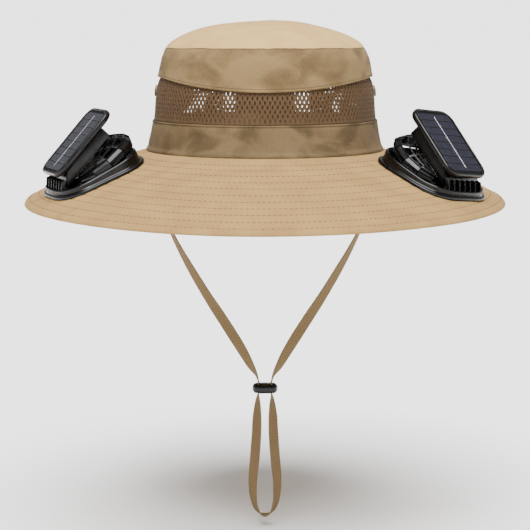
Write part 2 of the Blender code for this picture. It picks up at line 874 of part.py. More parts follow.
def strap_slider():
    """The cord lock: a small oval block with a slot for each run of the strap."""
    loops = []
    for level, inset in ((-0.5, 0.16), (-0.25, 0.0), (0.25, 0.0), (0.5, 0.16)):
        loop = []
        for turn in circle_angles(20):
            run, sway = math.cos(turn), math.sin(turn)
            across = (SLIDER_WIDTH / 2 - inset * SLIDER_HEIGHT) * math.copysign(abs(run) ** 0.75, run)
            along = (SLIDER_DEPTH / 2 - inset * SLIDER_HEIGHT) * math.copysign(abs(sway) ** 0.75, sway)
            loop.append(Vector((across, along, level * SLIDER_HEIGHT)))
        loops.append(loop)
    made = lofted("strap_slider", loops, True)
    made.location.z = SLIDER_HEIGHT_ON_STRAP
    for sign, side in ((-1, "left"), (1, "right")):
        bpy.ops.mesh.primitive_cube_add(size=1.0)
        slot = bpy.context.active_object
        slot.name = "slot_cutter_" + side
        slot.scale = (STRAP_THICKNESS + 4 * GAP, STRAP_WIDTH + 2 * GAP, 2 * SLIDER_HEIGHT)
        slot.location = (sign * SLIDER_STRAND_OFFSET, 0.0, SLIDER_HEIGHT_ON_STRAP)
        slot.hide_render = True
        slot.display_type = "WIRE"
        cut = made.modifiers.new("slot_" + side, "BOOLEAN")
        cut.operation = "DIFFERENCE"
        cut.solver = "EXACT"
        cut.object = slot
    return made


def build():
    for old in list(bpy.data.objects):
        bpy.data.objects.remove(old, do_unlink=True)
    units = {"left": unit_matrix("left", -1.0), "right": unit_matrix("right", 1.0)}
    for made in (tip(), upper_band(), lower_band(), brim(units), binding()):
        coat(made, tan_cotton())
    coat(mesh_band(), tan_mesh())
    for side, sign in (("left", -1), ("right", 1)):
        coat(side_stud(side, sign), dark_metal())
    for side, unit in units.items():
        fan_unit(side, unit)
    coat(chin_strap(), tan_webbing())
    coat(strap_slider(), black_plastic())
    bpy.context.view_layer.update()


build()
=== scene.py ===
"""Tan cotton sun hat with a net vent band, two solar fan units on its brim and a chin strap.

Metres, +Z up, front towards -Y. The origin is the middle of the head opening.
"""
import math

import bmesh
import bpy
from mathutils import Matrix, Vector, noise


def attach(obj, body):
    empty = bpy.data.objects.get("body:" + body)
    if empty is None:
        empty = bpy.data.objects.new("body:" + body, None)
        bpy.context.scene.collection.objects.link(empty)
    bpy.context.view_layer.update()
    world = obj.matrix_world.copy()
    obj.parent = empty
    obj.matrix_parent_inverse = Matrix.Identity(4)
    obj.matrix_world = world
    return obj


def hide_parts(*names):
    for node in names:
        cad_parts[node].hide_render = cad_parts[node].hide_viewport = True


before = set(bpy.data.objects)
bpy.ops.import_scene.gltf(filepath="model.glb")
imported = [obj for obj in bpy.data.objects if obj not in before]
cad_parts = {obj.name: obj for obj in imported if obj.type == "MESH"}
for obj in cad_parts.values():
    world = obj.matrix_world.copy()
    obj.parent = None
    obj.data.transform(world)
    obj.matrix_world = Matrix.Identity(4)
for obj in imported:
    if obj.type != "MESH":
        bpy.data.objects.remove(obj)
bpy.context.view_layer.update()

# Camera
# A long lens in front of the hat and a little above it, tipped down to take in the strap.

CAMERA_DISTANCE = 1.275
CAMERA_HEIGHT = 0.087
CAMERA_TIP = 7.8
LENS_LENGTH = 115.6

lens = bpy.data.cameras.new("camera")
lens.sensor_width = 36.0
lens.lens = LENS_LENGTH
camera = bpy.data.objects.new("camera", lens)
bpy.context.scene.collection.objects.link(camera)
camera.location = (0.0, -CAMERA_DISTANCE, CAMERA_HEIGHT)
camera.rotation_euler = (math.radians(90.0 - CAMERA_TIP), 0.0, 0.0)
bpy.context.scene.camera = camera

# Chin strap
# One flat woven polyester tape, sewn in at both sides of the crown. It hangs under its own
# weight and turns as it goes, through the slider and round a long narrow loop below it.

STRAP_WIDTH = 0.0080
STRAP_THICKNESS = 0.0011
STRAP_HALF_ROUTE = (
    (0.0818, 0.0150, 90), (0.0837, 0.0050, 90), (0.0841, -0.0060, 90), (0.0827, -0.0220, 88),
    (0.0782, -0.0420, 80), (0.0718, -0.0595, 72), (0.0646, -0.0747, 60), (0.0545, -0.0930, 42),
    (0.0436, -0.1114, 28), (0.0337, -0.1268, 12), (0.0240, -0.1422, 6), (0.0166, -0.1545, 22),
    (0.0106, -0.1655, 48), (0.0066, -0.1725, 76), (0.0050, -0.1780, 90), (0.0049, -0.1824, 90),
    (0.0050, -0.1868, 90), (0.0055, -0.1940, 64), (0.0061, -0.2060, 34), (0.0066, -0.2200, 25),
    (0.0080, -0.2390, 26), (0.0094, -0.2545, 36), (0.0088, -0.2695, 54), (0.0056, -0.2790, 70),
    (0.0000, -0.2822, 90),
)
STRAP_SECTION = (
    (-1.0, -0.4), (-0.94, -1.0), (0.0, -1.0), (0.94, -1.0), (1.0, -0.4),
    (1.0, 0.4), (0.94, 1.0), (0.0, 1.0), (-0.94, 1.0), (-1.0, 0.4),
)
STRAP_CURVE_STEPS = 5
TAPE_RIB = 0.00132


def linear(colour):
    """A colour written as sRGB hex, in the linear values that a shader takes."""
    parts = [int(colour[place:place + 2], 16) / 255 for place in (1, 3, 5)]
    parts = [part / 12.92 if part <= 0.04045 else ((part + 0.055) / 1.055) ** 2.4 for part in parts]
    return (*parts, 1.0)


def add_node(tree, kind, settings=None, links=None):
    """Add one node with its settings and what feeds it."""
    made = tree.nodes.new(kind)
    for name, value in (settings or {}).items():
        if isinstance(name, int) or name in made.inputs:
            made.inputs[name].default_value = value
        else:
            setattr(made, name, value)
    for name, source in (links or {}).items():
        tree.links.new(source, made.inputs[name])
    return made


def started_material(name, colour, roughness, ior=1.5, metallic=0.0):
    """A named material with its plain sockets set, and its node tree and shader."""
    made = bpy.data.materials.new(name)
    made.use_nodes = True
    shader = made.node_tree.nodes["Principled BSDF"]
    shader.inputs["Base Color"].default_value = linear(colour)
    shader.inputs["Roughness"].default_value = roughness
    shader.inputs["IOR"].default_value = ior
    shader.inputs["Metallic"].default_value = metallic
    return made, made.node_tree, shader


def wave_scale(pitch):
    """The scale that gives a wave texture one band for each pitch, in metres."""
    return math.tau / (20.0 * pitch)


def drawn_out(rings, ends="open"):
    """A body drawn out ring by ring: each ring's edges are extruded and moved to the next."""
    body = bmesh.new()
    ring_mark = body.verts.layers.int.new("ring")
    spot_mark = body.verts.layers.int.new("spot")
    row = list(bmesh.ops.create_circle(body, segments=len(rings[0]))["verts"])
    count = len(row)
    rows = []
    for number, ring in enumerate(rings):
        if rows:
            edges = [body.edges.get((row[i], row[(i + 1) % count])) for i in range(count)]
            order = {vert: i for i, vert in enumerate(row)}
            grown = bmesh.ops.extrude_edge_only(body, edges=edges)["geom"]
            row = [None] * count
            for vert in [part for part in grown if isinstance(part, bmesh.types.BMVert)]:
                for other in [edge.other_vert(vert) for edge in vert.link_edges]:
                    if other in order:
                        row[order[other]] = vert
        rows.append(row)
        for spot, (vert, place) in enumerate(zip(row, ring)):
            vert.co = place
            vert[ring_mark] = number
            vert[spot_mark] = spot
    start, end = [
        [body.edges.get((row[i], row[(i + 1) % count])) for i in range(count)]
        for row in (rows[0], rows[-1])
    ]
    if ends == "joined":
        bmesh.ops.bridge_loops(body, edges=start + end)
    elif ends == "capped":
        bmesh.ops.contextual_create(body, geom=start)
        bmesh.ops.contextual_create(body, geom=end)
    return body


def put_down(name, body, material, crease=35.0, outward=True):
    """Turn a bmesh into a named piece with its material, smooth but for its creases."""
    if outward:
        bmesh.ops.recalc_face_normals(body, faces=body.faces)
    mesh = bpy.data.meshes.new(name)
    body.to_mesh(mesh)
    body.free()
    mesh.shade_smooth()
    mesh.set_sharp_from_angle(angle=math.radians(crease))
    mesh.materials.append(material)
    piece = bpy.data.objects.new(name, mesh)
    bpy.context.scene.collection.objects.link(piece)
    return piece


def smooth_line(points, steps):
    """Points read from a smooth curve through a few of them."""
    rows = [Vector(point) for point in points]
    rows = [2 * rows[0] - rows[1]] + rows + [2 * rows[-1] - rows[-2]]
    line = []
    for before, start, end, after in zip(rows, rows[1:], rows[2:], rows[3:]):
        for step in range(steps):
            share = step / steps
            line.append(0.5 * (
                2 * start
                + (end - before) * share
                + (2 * before - 5 * start + 4 * end - after) * share ** 2
                + (3 * start - before - 3 * end + after) * share ** 3
            ))
    line.append(rows[-2])
    return line


# Woven polyester tape: matt, with slanting ribs of yarn that meet at the middle of its width.
# The ribs are drawn about twice as coarse as real ones, so that they show.
woven_tape, tree, shader = started_material("woven_polyester_tape", "#6b573b", 0.85, 1.48)
shader.inputs["Specular IOR Level"].default_value = 0.3
place = add_node(tree, "ShaderNodeUVMap", {"uv_map": "tape"})
apart = add_node(tree, "ShaderNodeSeparateXYZ", {}, {"Vector": place.outputs["UV"]})
from_middle = add_node(tree, "ShaderNodeMath", {"operation": "ABSOLUTE"}, {0: apart.outputs["X"]})
slant = add_node(tree, "ShaderNodeCombineXYZ", {}, {"X": from_middle.outputs[0], "Y": apart.outputs["Y"]})
ribs = add_node(
    tree, "ShaderNodeTexWave",
    {"bands_direction": "DIAGONAL", "Scale": wave_scale(TAPE_RIB), "Distortion": 0.6},
    {"Vector": slant.outputs[0]},
)
tone = add_node(
    tree, "ShaderNodeMix",
    {"data_type": "RGBA", 6: linear("#624e33"), 7: linear("#735f40")}, {0: ribs.outputs["Fac"]},
)
tree.links.new(tone.outputs[2], shader.inputs["Base Color"])
rise = add_node(
    tree, "ShaderNodeBump", {"Strength": 0.3, "Distance": 0.0003}, {"Height": ribs.outputs["Fac"]},
)
tree.links.new(rise.outputs[0], shader.inputs["Normal"])

half = [Vector(row) for row in STRAP_HALF_ROUTE]
route = half + [Vector((-row.x, row.y, row.z)) for row in reversed(half[:-1])]
line = smooth_line(route, STRAP_CURVE_STEPS)
centres = [Vector((row.x, 0.0, row.y)) for row in line]
rings = []
for number, centre in enumerate(centres):
    along = (centres[min(number + 1, len(centres) - 1)] - centres[max(number - 1, 0)]).normalized()
    flat = along.cross(Vector((0.0, 1.0, 0.0)))
    turn = math.radians(line[number].z)
    wide = flat * math.cos(turn) + Vector((0.0, 1.0, 0.0)) * math.sin(turn)
    thick = along.cross(wide)
    rings.append([
        centre + wide * (STRAP_WIDTH / 2 * a) + thick * (STRAP_THICKNESS / 2 * b)
        for a, b in STRAP_SECTION
    ])
body = drawn_out(rings, "capped")
tape = body.loops.layers.uv.new("tape")
run = [0.0]
for before, after in zip(centres, centres[1:]):
    run.append(run[-1] + (after - before).length)
ring_mark = body.verts.layers.int["ring"]
spot_mark = body.verts.layers.int["spot"]
for face in body.faces:
    for corner in face.loops:
        across = STRAP_SECTION[corner.vert[spot_mark]][0]
        corner[tape].uv = (across * STRAP_WIDTH / 2, run[corner.vert[ring_mark]])
chin_strap = put_down("chin_strap_tape", body, woven_tape, 50.0)
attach(chin_strap, "hat")
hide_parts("chin_strap")

# Strap slider
# A cord lock moulded in glossy black ABS, an oval block with a slot for each run of the tape.
# It grips the tape by friction and hangs on it.

SLIDER_SIZE = (0.0192, 0.0116, 0.0076)
SLIDER_LEVEL = -0.1824
SLIDER_CORNER = 0.0056
SLIDER_EDGE = 0.0030
SLIDER_SLOT_OFFSET = 0.0049
SLIDER_SLOT_PLAY = (0.0012, 0.0006)
MOULD_RIPPLE = 0.00625


def rounded_outline(length, width, corner, steps, level):
    """A rectangle with round corners, drawn level."""
    points = []
    for quarter in range(4):
        middle = Vector((
            (length / 2 - corner) * (1 if quarter in (0, 3) else -1),
            (width / 2 - corner) * (1 if quarter in (0, 1) else -1),
            level,
        ))
        for step in range(steps + 1):
            turn = math.radians(90 * quarter + 90 * step / steps)
            points.append(middle + Vector((corner * math.cos(turn), corner * math.sin(turn), 0.0)))
    return points


def pillow_rings(length, width, corner, low, high, edge, steps=6, rounds=4):
    """Rings of a slab with round corners, whose upper and lower edges are rounded over."""
    rings = []
    for level, sign in ((low + edge, -1), (high - edge, 1)):
        sweep = range(rounds, -1, -1) if sign < 0 else range(rounds + 1)
        for step in sweep:
            turn = math.radians(90 * step / rounds)
            inset = edge * (1.0 - math.cos(turn))
            rings.append(rounded_outline(
                length - 2 * inset, width - 2 * inset, max(corner - inset, 0.0002), steps,
                level + sign * edge * math.sin(turn),
            ))
    return rings


def add_block(body, size, middle):
    """Add a block to a body, and give back its corners."""
    block = bmesh.ops.create_cube(body, size=1.0)["verts"]
    bmesh.ops.scale(body, verts=block, vec=size)
    bmesh.ops.translate(body, verts=block, vec=middle)
    return block


def cut_out(piece, body, material):
    """Cut a body's shape out of a piece for good."""
    cutter = put_down("cutter", body, material)
    cut = piece.modifiers.new("cut", "BOOLEAN")
    cut.object = cutter
    cut.solver = "EXACT"
    bpy.context.view_layer.update()
    shaped = bpy.data.meshes.new_from_object(piece.evaluated_get(bpy.context.evaluated_depsgraph_get()))
    piece.modifiers.clear()
    piece.data = shaped
    bpy.data.objects.remove(cutter)


# Glossy ABS: black, a little warm, with faint ripple from the mould.
glossy_abs, tree, shader = started_material("glossy_moulded_abs", "#070606", 0.24, 1.50)
shader.inputs["Specular IOR Level"].default_value = 0.28
place = add_node(tree, "ShaderNodeTexCoord")
ripple = add_node(
    tree, "ShaderNodeTexNoise", {"Scale": 1.0 / MOULD_RIPPLE, "Detail": 2.0},
    {"Vector": place.outputs["Object"]},
)
wear = add_node(
    tree, "ShaderNodeMapRange", {1: 0.35, 2: 0.75, 3: 0.18, 4: 0.34}, {0: ripple.outputs["Fac"]},
)
tree.links.new(wear.outputs[0], shader.inputs["Roughness"])
rise = add_node(
    tree, "ShaderNodeBump", {"Strength": 0.12, "Distance": 0.0003}, {"Height": ripple.outputs["Fac"]},
)
tree.links.new(rise.outputs[0], shader.inputs["Normal"])

length, width, height = SLIDER_SIZE
body = drawn_out(
    pillow_rings(length, width, SLIDER_CORNER, -height / 2, height / 2, SLIDER_EDGE), "capped",
)
bmesh.ops.translate(body, verts=body.verts, vec=(0.0, 0.0, SLIDER_LEVEL))
slider = put_down("strap_slider_block", body, glossy_abs)
for sign in (-1, 1):
    body = bmesh.new()
    slot = (STRAP_THICKNESS + SLIDER_SLOT_PLAY[0], STRAP_WIDTH + SLIDER_SLOT_PLAY[1], 0.02)
    add_block(body, slot, (sign * SLIDER_SLOT_OFFSET, 0.0, SLIDER_LEVEL))
    cut_out(slider, body, glossy_abs)
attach(slider, "hat")
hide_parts("strap_slider")

# Crown: lower band
# Plain-woven cotton drill, cut as a band. Its foot swells a little where it is turned in and
# sewn down into the brim, and a thin piping runs round its top edge, under the net.

CROWN_HALF_WIDTH = 0.088
CROWN_HALF_DEPTH = 0.098
CROWN_HEIGHT = 0.0755
CROWN_SIDE = (
    (0.00, 1.000), (0.05, 0.990), (0.18, 0.966), (0.34, 0.941), (0.50, 0.930),
    (0.64, 0.912), (0.80, 0.892), (0.90, 0.877), (1.00, 0.843),
)
CROWN_DENTS = (
    (-128, 0.12, 9, 0.16, 0.014), (-104, 0.20, 7, 0.14, -0.008), (-72, 0.10, 10, 0.14, 0.012),
    (-47, 0.22, 8, 0.16, -0.009), (-20, 0.12, 9, 0.18, 0.010), (-150, 0.84, 10, 0.12, 0.010),
    (-112, 0.88, 9, 0.12, -0.007), (-66, 0.84, 10, 0.12, 0.009), (-35, 0.90, 9, 0.12, -0.006),
    (30, 0.15, 12, 0.18, 0.010), (75, 0.20, 10, 0.16, -0.008), (118, 0.12, 11, 0.16, 0.012),
    (155, 0.80, 12, 0.14, 0.008),
)
CREASE_DEPTH = 0.013
FINE_CREASE_DEPTH = 0.005
BAND_STEPS = 288
COTTON_YARN = 0.0009
COTTON_SLUB = 0.00192
LOWER_BAND_REACH = 0.090
LOWER_BAND_OUTLINE = (
    (-0.0016, -0.0010), (-0.0004, -0.0010), (0.0004, -0.0006), (0.0008, 0.0006), (0.0008, 0.0018),
    (0.0005, 0.0026), (0.0001, 0.0034), (0.0, 0.0048), (0.0, 0.0068), (0.0, 0.0090), (0.0, 0.0112),
    (0.0, 0.0134), (0.0, 0.0156), (0.0, 0.0176), (0.0, 0.0192), (-0.0001, 0.0203), (-0.0003, 0.0208),
    (0.0001, 0.0212), (0.0003, 0.0216), (0.0003, 0.0220), (0.0, 0.0224), (-0.0014, 0.0223),
    (-0.0016, 0.0180), (-0.0016, 0.0120), (-0.0016, 0.0060),
)


def between(low, high, share):
    """The value that lies a share of the way from low to high."""
    return low + (high - low) * share


def eased(value, low, high):
    """Nought below low, one above high, and smooth between."""
    share = min(max((value - low) / (high - low), 0.0), 1.0)
    return share * share * (3.0 - 2.0 * share)


def straight_out(angle):
    """The level direction out from the middle of the hat."""
    return Vector((math.cos(angle), math.sin(angle), 0.0))


def crown_width(height):
    """The crown's width at a height, as a share of its width at the foot."""
    level = min(max(height / CROWN_HEIGHT, 0.0), 1.0)
    for (low, wide), (high, narrow) in zip(CROWN_SIDE, CROWN_SIDE[1:]):
        if level <= high:
            return between(wide, narrow, (level - low) / (high - low))
    return CROWN_SIDE[-1][1]


def crown_dent(angle, height):
    """How far the cloth is pushed in: its main dents, and the small creases between them."""
    total = 0.0
    for azimuth, level, spread, tall, depth in CROWN_DENTS:
        turn = (math.degrees(angle) - azimuth + 180.0) % 360.0 - 180.0
        rise = height / CROWN_HEIGHT - level
        total += depth * math.exp(-((turn / spread) ** 2) - (rise / tall) ** 2)
    around = straight_out(angle) * 2.6
    crease = noise.noise(around + Vector((0.0, 0.0, height * 34.0)))
    fine = noise.noise(around * 2.6 + Vector((3.0, 0.0, height * 62.0)))
    total += CREASE_DEPTH * crease + FINE_CREASE_DEPTH * fine
    return total * eased(height, -0.001, 0.009)


def crown_point(angle, height, out):
    """A point of the crown's side, a way out from its cloth's face."""
    share = crown_width(height) - crown_dent(angle, height)
    return Vector((
        (CROWN_HALF_WIDTH * share + out) * math.cos(angle),
        (CROWN_HALF_DEPTH * share + out) * math.sin(angle),
        height,
    ))


def turned(outline, steps):
    """A ring turned from an outline of (out, level) points, at a radius of one metre."""
    body = bmesh.new()
    corners = [body.verts.new((1.0 + out, 0.0, level)) for out, level in outline]
    edges = [body.edges.new(pair) for pair in zip(corners, corners[1:] + corners[:1])]
    bmesh.ops.spin(
        body, geom=corners + edges, cent=(0.0, 0.0, 0.0), axis=(0.0, 0.0, 1.0),
        angle=math.tau, steps=steps, use_merge=True,
    )
    return body


def settled(body, place):
    """Move a turned ring's points to where they belong on the hat."""
    for vert in body.verts:
        angle = math.atan2(vert.co.y, vert.co.x)
        vert.co = place(angle, math.hypot(vert.co.x, vert.co.y) - 1.0, vert.co.z)


def grain_round(body, reach):
    """Lay the cloth's grain round a band: threads run level and upright."""
    grain = body.loops.layers.uv.new("grain")
    for face in body.faces:
        turns = [math.atan2(corner.vert.co.y, corner.vert.co.x) for corner in face.loops]
        across_back = max(turns) - min(turns) > math.pi
        for corner, turn in zip(face.loops, turns):
            if across_back and turn < 0.0:
                turn += math.tau
            corner[grain].uv = (turn * reach, corner.vert.co.z)


def cotton_drill(name, light, dark, crease_shade_size=0.0263, crease_shade_from=0.30, crease_shade_to=0.70):
    """Cotton drill: matt and soft, with a square weave, and clouds of painted shade that stand in for the
    shade of its creases.

    The yarn is drawn about twice as thick as real drill's, so that the weave shows.
    """
    made, tree, shader = started_material(name, light, 0.92, 1.47)
    shader.inputs["Specular IOR Level"].default_value = 0.3
    grain = add_node(tree, "ShaderNodeUVMap", {"uv_map": "grain"})
    warp, weft = [
        add_node(
            tree, "ShaderNodeTexWave",
            {
                "bands_direction": way, "Scale": wave_scale(COTTON_YARN), "Distortion": 1.2,
                "Detail Scale": 2.0,
            },
            {"Vector": grain.outputs["UV"]},
        )
        for way in "XY"
    ]
    woven = add_node(
        tree, "ShaderNodeMath", {"operation": "MULTIPLY"},
        {0: warp.outputs["Fac"], 1: weft.outputs["Fac"]},
    )
    place = add_node(tree, "ShaderNodeTexCoord")
    # Clouds of painted shade, stretched upright along the grain: darker patches that stand in for the shade
    # in the cloth's creases.
    drawn = add_node(tree, "ShaderNodeVectorMath", {"operation": "MULTIPLY"}, {0: grain.outputs["UV"]})
    drawn.inputs[1].default_value = (1.0, 1.7, 1.0)
    crease_shade_clouds = add_node(
        tree, "ShaderNodeTexNoise",
        {"Scale": 1.0 / crease_shade_size, "Detail": 2.0, "Roughness": 0.45, "Distortion": 0.6},
        {"Vector": drawn.outputs[0]},
    )
    crease_shade_patch = add_node(
        tree, "ShaderNodeMapRange",
        {"interpolation_type": "SMOOTHSTEP", 1: crease_shade_from, 2: crease_shade_to, 3: 0.0, 4: 1.0},
        {0: crease_shade_clouds.outputs["Fac"]},
    )
    # Slub flecks: the yarn's own uneven tone, added to the painted crease shade.
    slub = add_node(
        tree, "ShaderNodeTexNoise", {"Scale": 1.0 / COTTON_SLUB, "Detail": 2.0},
        {"Vector": place.outputs["Object"]},
    )
    fleck = add_node(
        tree, "ShaderNodeMapRange", {1: 0.3, 2: 0.7, 3: -0.12, 4: 0.12}, {0: slub.outputs["Fac"]},
    )
    share = add_node(
        tree, "ShaderNodeMath", {"operation": "ADD", "use_clamp": True},
        {0: crease_shade_patch.outputs[0], 1: fleck.outputs[0]},
    )
    tone = add_node(
        tree, "ShaderNodeMix",
        {"data_type": "RGBA", 6: linear(dark), 7: linear(light)}, {0: share.outputs[0]},
    )
    tree.links.new(tone.outputs[2], shader.inputs["Base Color"])
    bumps = add_node(
        tree, "ShaderNodeMath", {"operation": "ADD"}, {0: woven.outputs[0], 1: slub.outputs["Fac"]},
    )
    rise = add_node(
        tree, "ShaderNodeBump", {"Strength": 0.28, "Distance": 0.0003}, {"Height": bumps.outputs[0]},
    )
    tree.links.new(rise.outputs[0], shader.inputs["Normal"])
    return made


# The lower band is given darker tones than the brim's drill: painted shade for its upright side, low on the
# crown and close over the brim.
lower_cotton_painted_shade = cotton_drill("tan_cotton_drill_lower_band_painted_shade", "#625036", "#443721", 0.0278, 0.34, 0.66)
body = turned(LOWER_BAND_OUTLINE, BAND_STEPS)
settled(body, lambda angle, out, level: crown_point(angle, level, out))
grain_round(body, LOWER_BAND_REACH)
lower_band = put_down("crown_lower_band_cloth", body, lower_cotton_painted_shade, 60.0)
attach(lower_band, "hat")
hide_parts("crown_lower_band")

# Crown: net band
# Brown polyester warp-knit net with small upright holes, set in rows that shift by half a
# hole. Its top edge runs up behind the fold of the band above, and its ends overlap behind.

NET_COLUMNS = 144
NET_ROWS = 5
NET_BOTTOM = 0.0222
NET_ROW_HEIGHT = 0.0063
NET_STRAND = 0.00064
NET_THICKNESS = 0.0007
NET_BACK_STRAND = 0.00078
NET_OVERLAP = 0.046
NET_UNEVEN = 0.010
NET_SWAY = 0.0012
NET_SINK = 0.0008
NET_YARN = 0.000714
UPPER_BAND_HEIGHT = 0.0210
UPPER_BAND_DIP = 0.0095


def net_top(angle):
    """The folded edge over the net, which dips at the front and the back."""
    return CROWN_HEIGHT - UPPER_BAND_HEIGHT - UPPER_BAND_DIP * math.sin(angle) ** 2


def doubled(face):
    """Whether a hole lies at the back, where the net's two ends overlap and close it."""
    centre = face.calc_center_median()
    return centre.y > 0.0 and abs(centre.x) < NET_OVERLAP / 2


# Knitted polyester net: dull brown yarn, mottled by its fibres, with hardly a shine.
knit_net, tree, shader = started_material("knitted_polyester_net", "#493622", 0.75, 1.5)
shader.inputs["Specular IOR Level"].default_value = 0.15
place = add_node(tree, "ShaderNodeTexCoord")
yarn = add_node(
    tree, "ShaderNodeTexNoise", {"Scale": 1.0 / NET_YARN, "Detail": 2.0}, {"Vector": place.outputs["Object"]},
)
tone = add_node(
    tree, "ShaderNodeMix",
    {"data_type": "RGBA", 6: linear("#3c2b1c"), 7: linear("#54412b")}, {0: yarn.outputs["Fac"]},
)
tree.links.new(tone.outputs[2], shader.inputs["Base Color"])
rise = add_node(
    tree, "ShaderNodeBump", {"Strength": 0.4, "Distance": 0.0002}, {"Height": yarn.outputs["Fac"]},
)
tree.links.new(rise.outputs[0], shader.inputs["Normal"])

body = bmesh.new()
bmesh.ops.create_grid(body, x_segments=NET_COLUMNS, y_segments=NET_ROWS, size=1.0)
for vert in body.verts:
    angle = math.pi / 2 + math.pi * (vert.co.x + 1.0)
    vert.co = (math.cos(angle), math.sin(angle), (vert.co.y + 1.0) / 2)
bmesh.ops.remove_doubles(body, verts=body.verts, dist=1e-5)
square = [edge for edge in body.edges if not edge.is_boundary]
bmesh.ops.poke(body, faces=body.faces)
bmesh.ops.dissolve_edges(body, edges=square, use_verts=False)
for vert in body.verts:
    angle = math.atan2(vert.co.y, vert.co.x)
    height = NET_BOTTOM + NET_ROWS * NET_ROW_HEIGHT * vert.co.z
    edge = net_top(angle)
    behind = eased(height, edge - 0.0030, edge - 0.0004)
    if 0.0 < vert.co.y:
        spot = Vector((math.cos(angle) * 22.0, math.sin(angle) * 22.0, height * 190.0))
        angle += NET_UNEVEN * noise.noise(spot)
        sway = NET_SWAY * noise.noise(spot + Vector((7.0, 0.0, 0.0)))
        height += sway * (1.0 - behind) * eased(vert.co.z, 0.0, 0.2)
    vert.co = crown_point(angle, min(height, edge + 0.0060), -NET_SINK - 0.0013 * behind)
holes = [face for face in body.faces if len(face.verts) == 4 and not doubled(face)]
front_holes = [face for face in holes if face.calc_center_median().y < 0.0]
back_holes = [face for face in holes if face.calc_center_median().y >= 0.0]
bmesh.ops.inset_individual(body, faces=front_holes, thickness=NET_STRAND)
bmesh.ops.inset_individual(body, faces=back_holes, thickness=NET_BACK_STRAND)
bmesh.ops.delete(body, geom=holes, context="FACES")
bmesh.ops.recalc_face_normals(body, faces=body.faces)
sample = max(body.faces, key=lambda face: face.calc_center_median().x)
if sample.normal.x < 0.0:
    bmesh.ops.reverse_faces(body, faces=body.faces)
net = put_down("crown_net", body, knit_net, 180.0, outward=False)
soften = net.modifiers.new("round_holes", "SUBSURF")
soften.levels = 1
soften.render_levels = 1
wall = net.modifiers.new("yarn_thickness", "SOLIDIFY")
wall.thickness = NET_THICKNESS
wall.offset = -1.0
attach(net, "hat")
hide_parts("crown_mesh_band")

# Crown: upper band
# The same cotton drill. Its lower edge is folded under and topstitched over the net.

SEAM_PUCKER = 0.0005
UPPER_BAND_REACH = 0.082
UPPER_BAND_OUTLINE = (
    (-0.0016, 0.004), (-0.0008, 0.000), (0.0000, 0.003), (0.0003, 0.014), (0.0004, 0.035),
    (0.0002, 0.052), (-0.0001, 0.062), (0.0002, 0.074), (0.0002, 0.095), (0.0000, 0.13),
    (0.0000, 0.20), (0.0, 0.26), (0.0, 0.33), (0.0, 0.40), (0.0, 0.47), (0.0, 0.54), (0.0, 0.61),
    (0.0, 0.68), (0.0, 0.75), (0.0, 0.81), (0.0, 0.87), (0.0, 0.92), (-0.0001, 0.955),
    (-0.0004, 0.985), (-0.0008, 1.000), (-0.0016, 0.996), (-0.0016, 0.80),
    (-0.0016, 0.60), (-0.0016, 0.40), (-0.0016, 0.20),
)

# The upper band is given darker tones than the brim's drill: painted shade for its upright side.
upper_cotton_painted_shade = cotton_drill("tan_cotton_drill_upper_band_painted_shade", "#76613f", "#59462b", 0.03125, 0.32, 0.64)
body = turned(UPPER_BAND_OUTLINE, BAND_STEPS)


def seam_height(angle):
    """The seam under the tip, a little uneven where the cloth puckers along it."""
    around = straight_out(angle)
    return CROWN_HEIGHT + SEAM_PUCKER * (noise.noise(around * 3.0) + 0.6 * noise.noise(around * 14.0))


def on_upper_band(angle, out, level):
    return crown_point(angle, between(net_top(angle), seam_height(angle) - 0.0002, level), out)


settled(body, on_upper_band)
grain_round(body, UPPER_BAND_REACH)
upper_band = put_down("crown_upper_band_cloth", body, upper_cotton_painted_shade, 60.0)
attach(upper_band, "hat")
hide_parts("crown_upper_band")

# Crown: tip
# The oval top panel of the same drill, cut in one and slightly domed, seamed to the band.

TIP_RISE = 0.0200
TIP_SHOULDER = 14.0
TIP_CLOTH = 0.0016
TIP_ROLL = 0.0005
TIP_OUTLINE = [(0.0, lift) for lift in (0, 3, 6, 10, 15, 21, 28, 36, 45, 54, 63, 72, 80, 85, 90)]
TIP_OUTLINE += [(-TIP_CLOTH, lift) for lift in (90, 80, 65, 50, 35, 20, 8, 0)]


def tip_point(angle, out, lift):
    """A point of the tip's dome: nought degrees is its seam and ninety its middle."""
    rise = math.radians(between(TIP_SHOULDER, 90.0, lift / 90.0))
    reach = math.cos(rise) / math.cos(math.radians(TIP_SHOULDER))
    start = math.sin(math.radians(TIP_SHOULDER))
    height = (math.sin(rise) - start) / (1.0 - start)
    share = CROWN_SIDE[-1][1] - crown_dent(angle, CROWN_HEIGHT) * reach
    roll = -TIP_ROLL * (1.0 - eased(lift, 0.0, 4.0)) if out > -TIP_CLOTH / 2 else 0.0
    around = straight_out(angle)
    sag = 0.0009 * noise.noise(around * 2.2 * reach) + 0.0003 * noise.noise(around * 9.0 * reach)
    return Vector((
        (CROWN_HALF_WIDTH * share + out + roll) * reach * math.cos(angle),
        (CROWN_HALF_DEPTH * share + out + roll) * reach * math.sin(angle),
        between(seam_height(angle), CROWN_HEIGHT, height) + (TIP_RISE + out) * height + sag * height,
    ))


def grain_flat(body):
    """Lay the cloth's grain as it was cut, straight across the hat."""
    grain = body.loops.layers.uv.new("grain")
    for face in body.faces:
        for corner in face.loops:
            corner[grain].uv = (corner.vert.co.x, corner.vert.co.y)


# The tip is given lighter tones than the brim's drill: painted light for its face turned up under the lamp.
tip_cotton_painted_light = cotton_drill("tan_cotton_drill_tip_painted_light", "#b79660", "#ae8c57")
body = turned(TIP_OUTLINE, BAND_STEPS)
settled(body, tip_point)
bmesh.ops.remove_doubles(body, verts=body.verts, dist=1e-6)
grain_flat(body)
tip = put_down("crown_tip_cloth", body, tip_cotton_painted_light, 60.0)
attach(tip, "hat")
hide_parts("crown_tip")

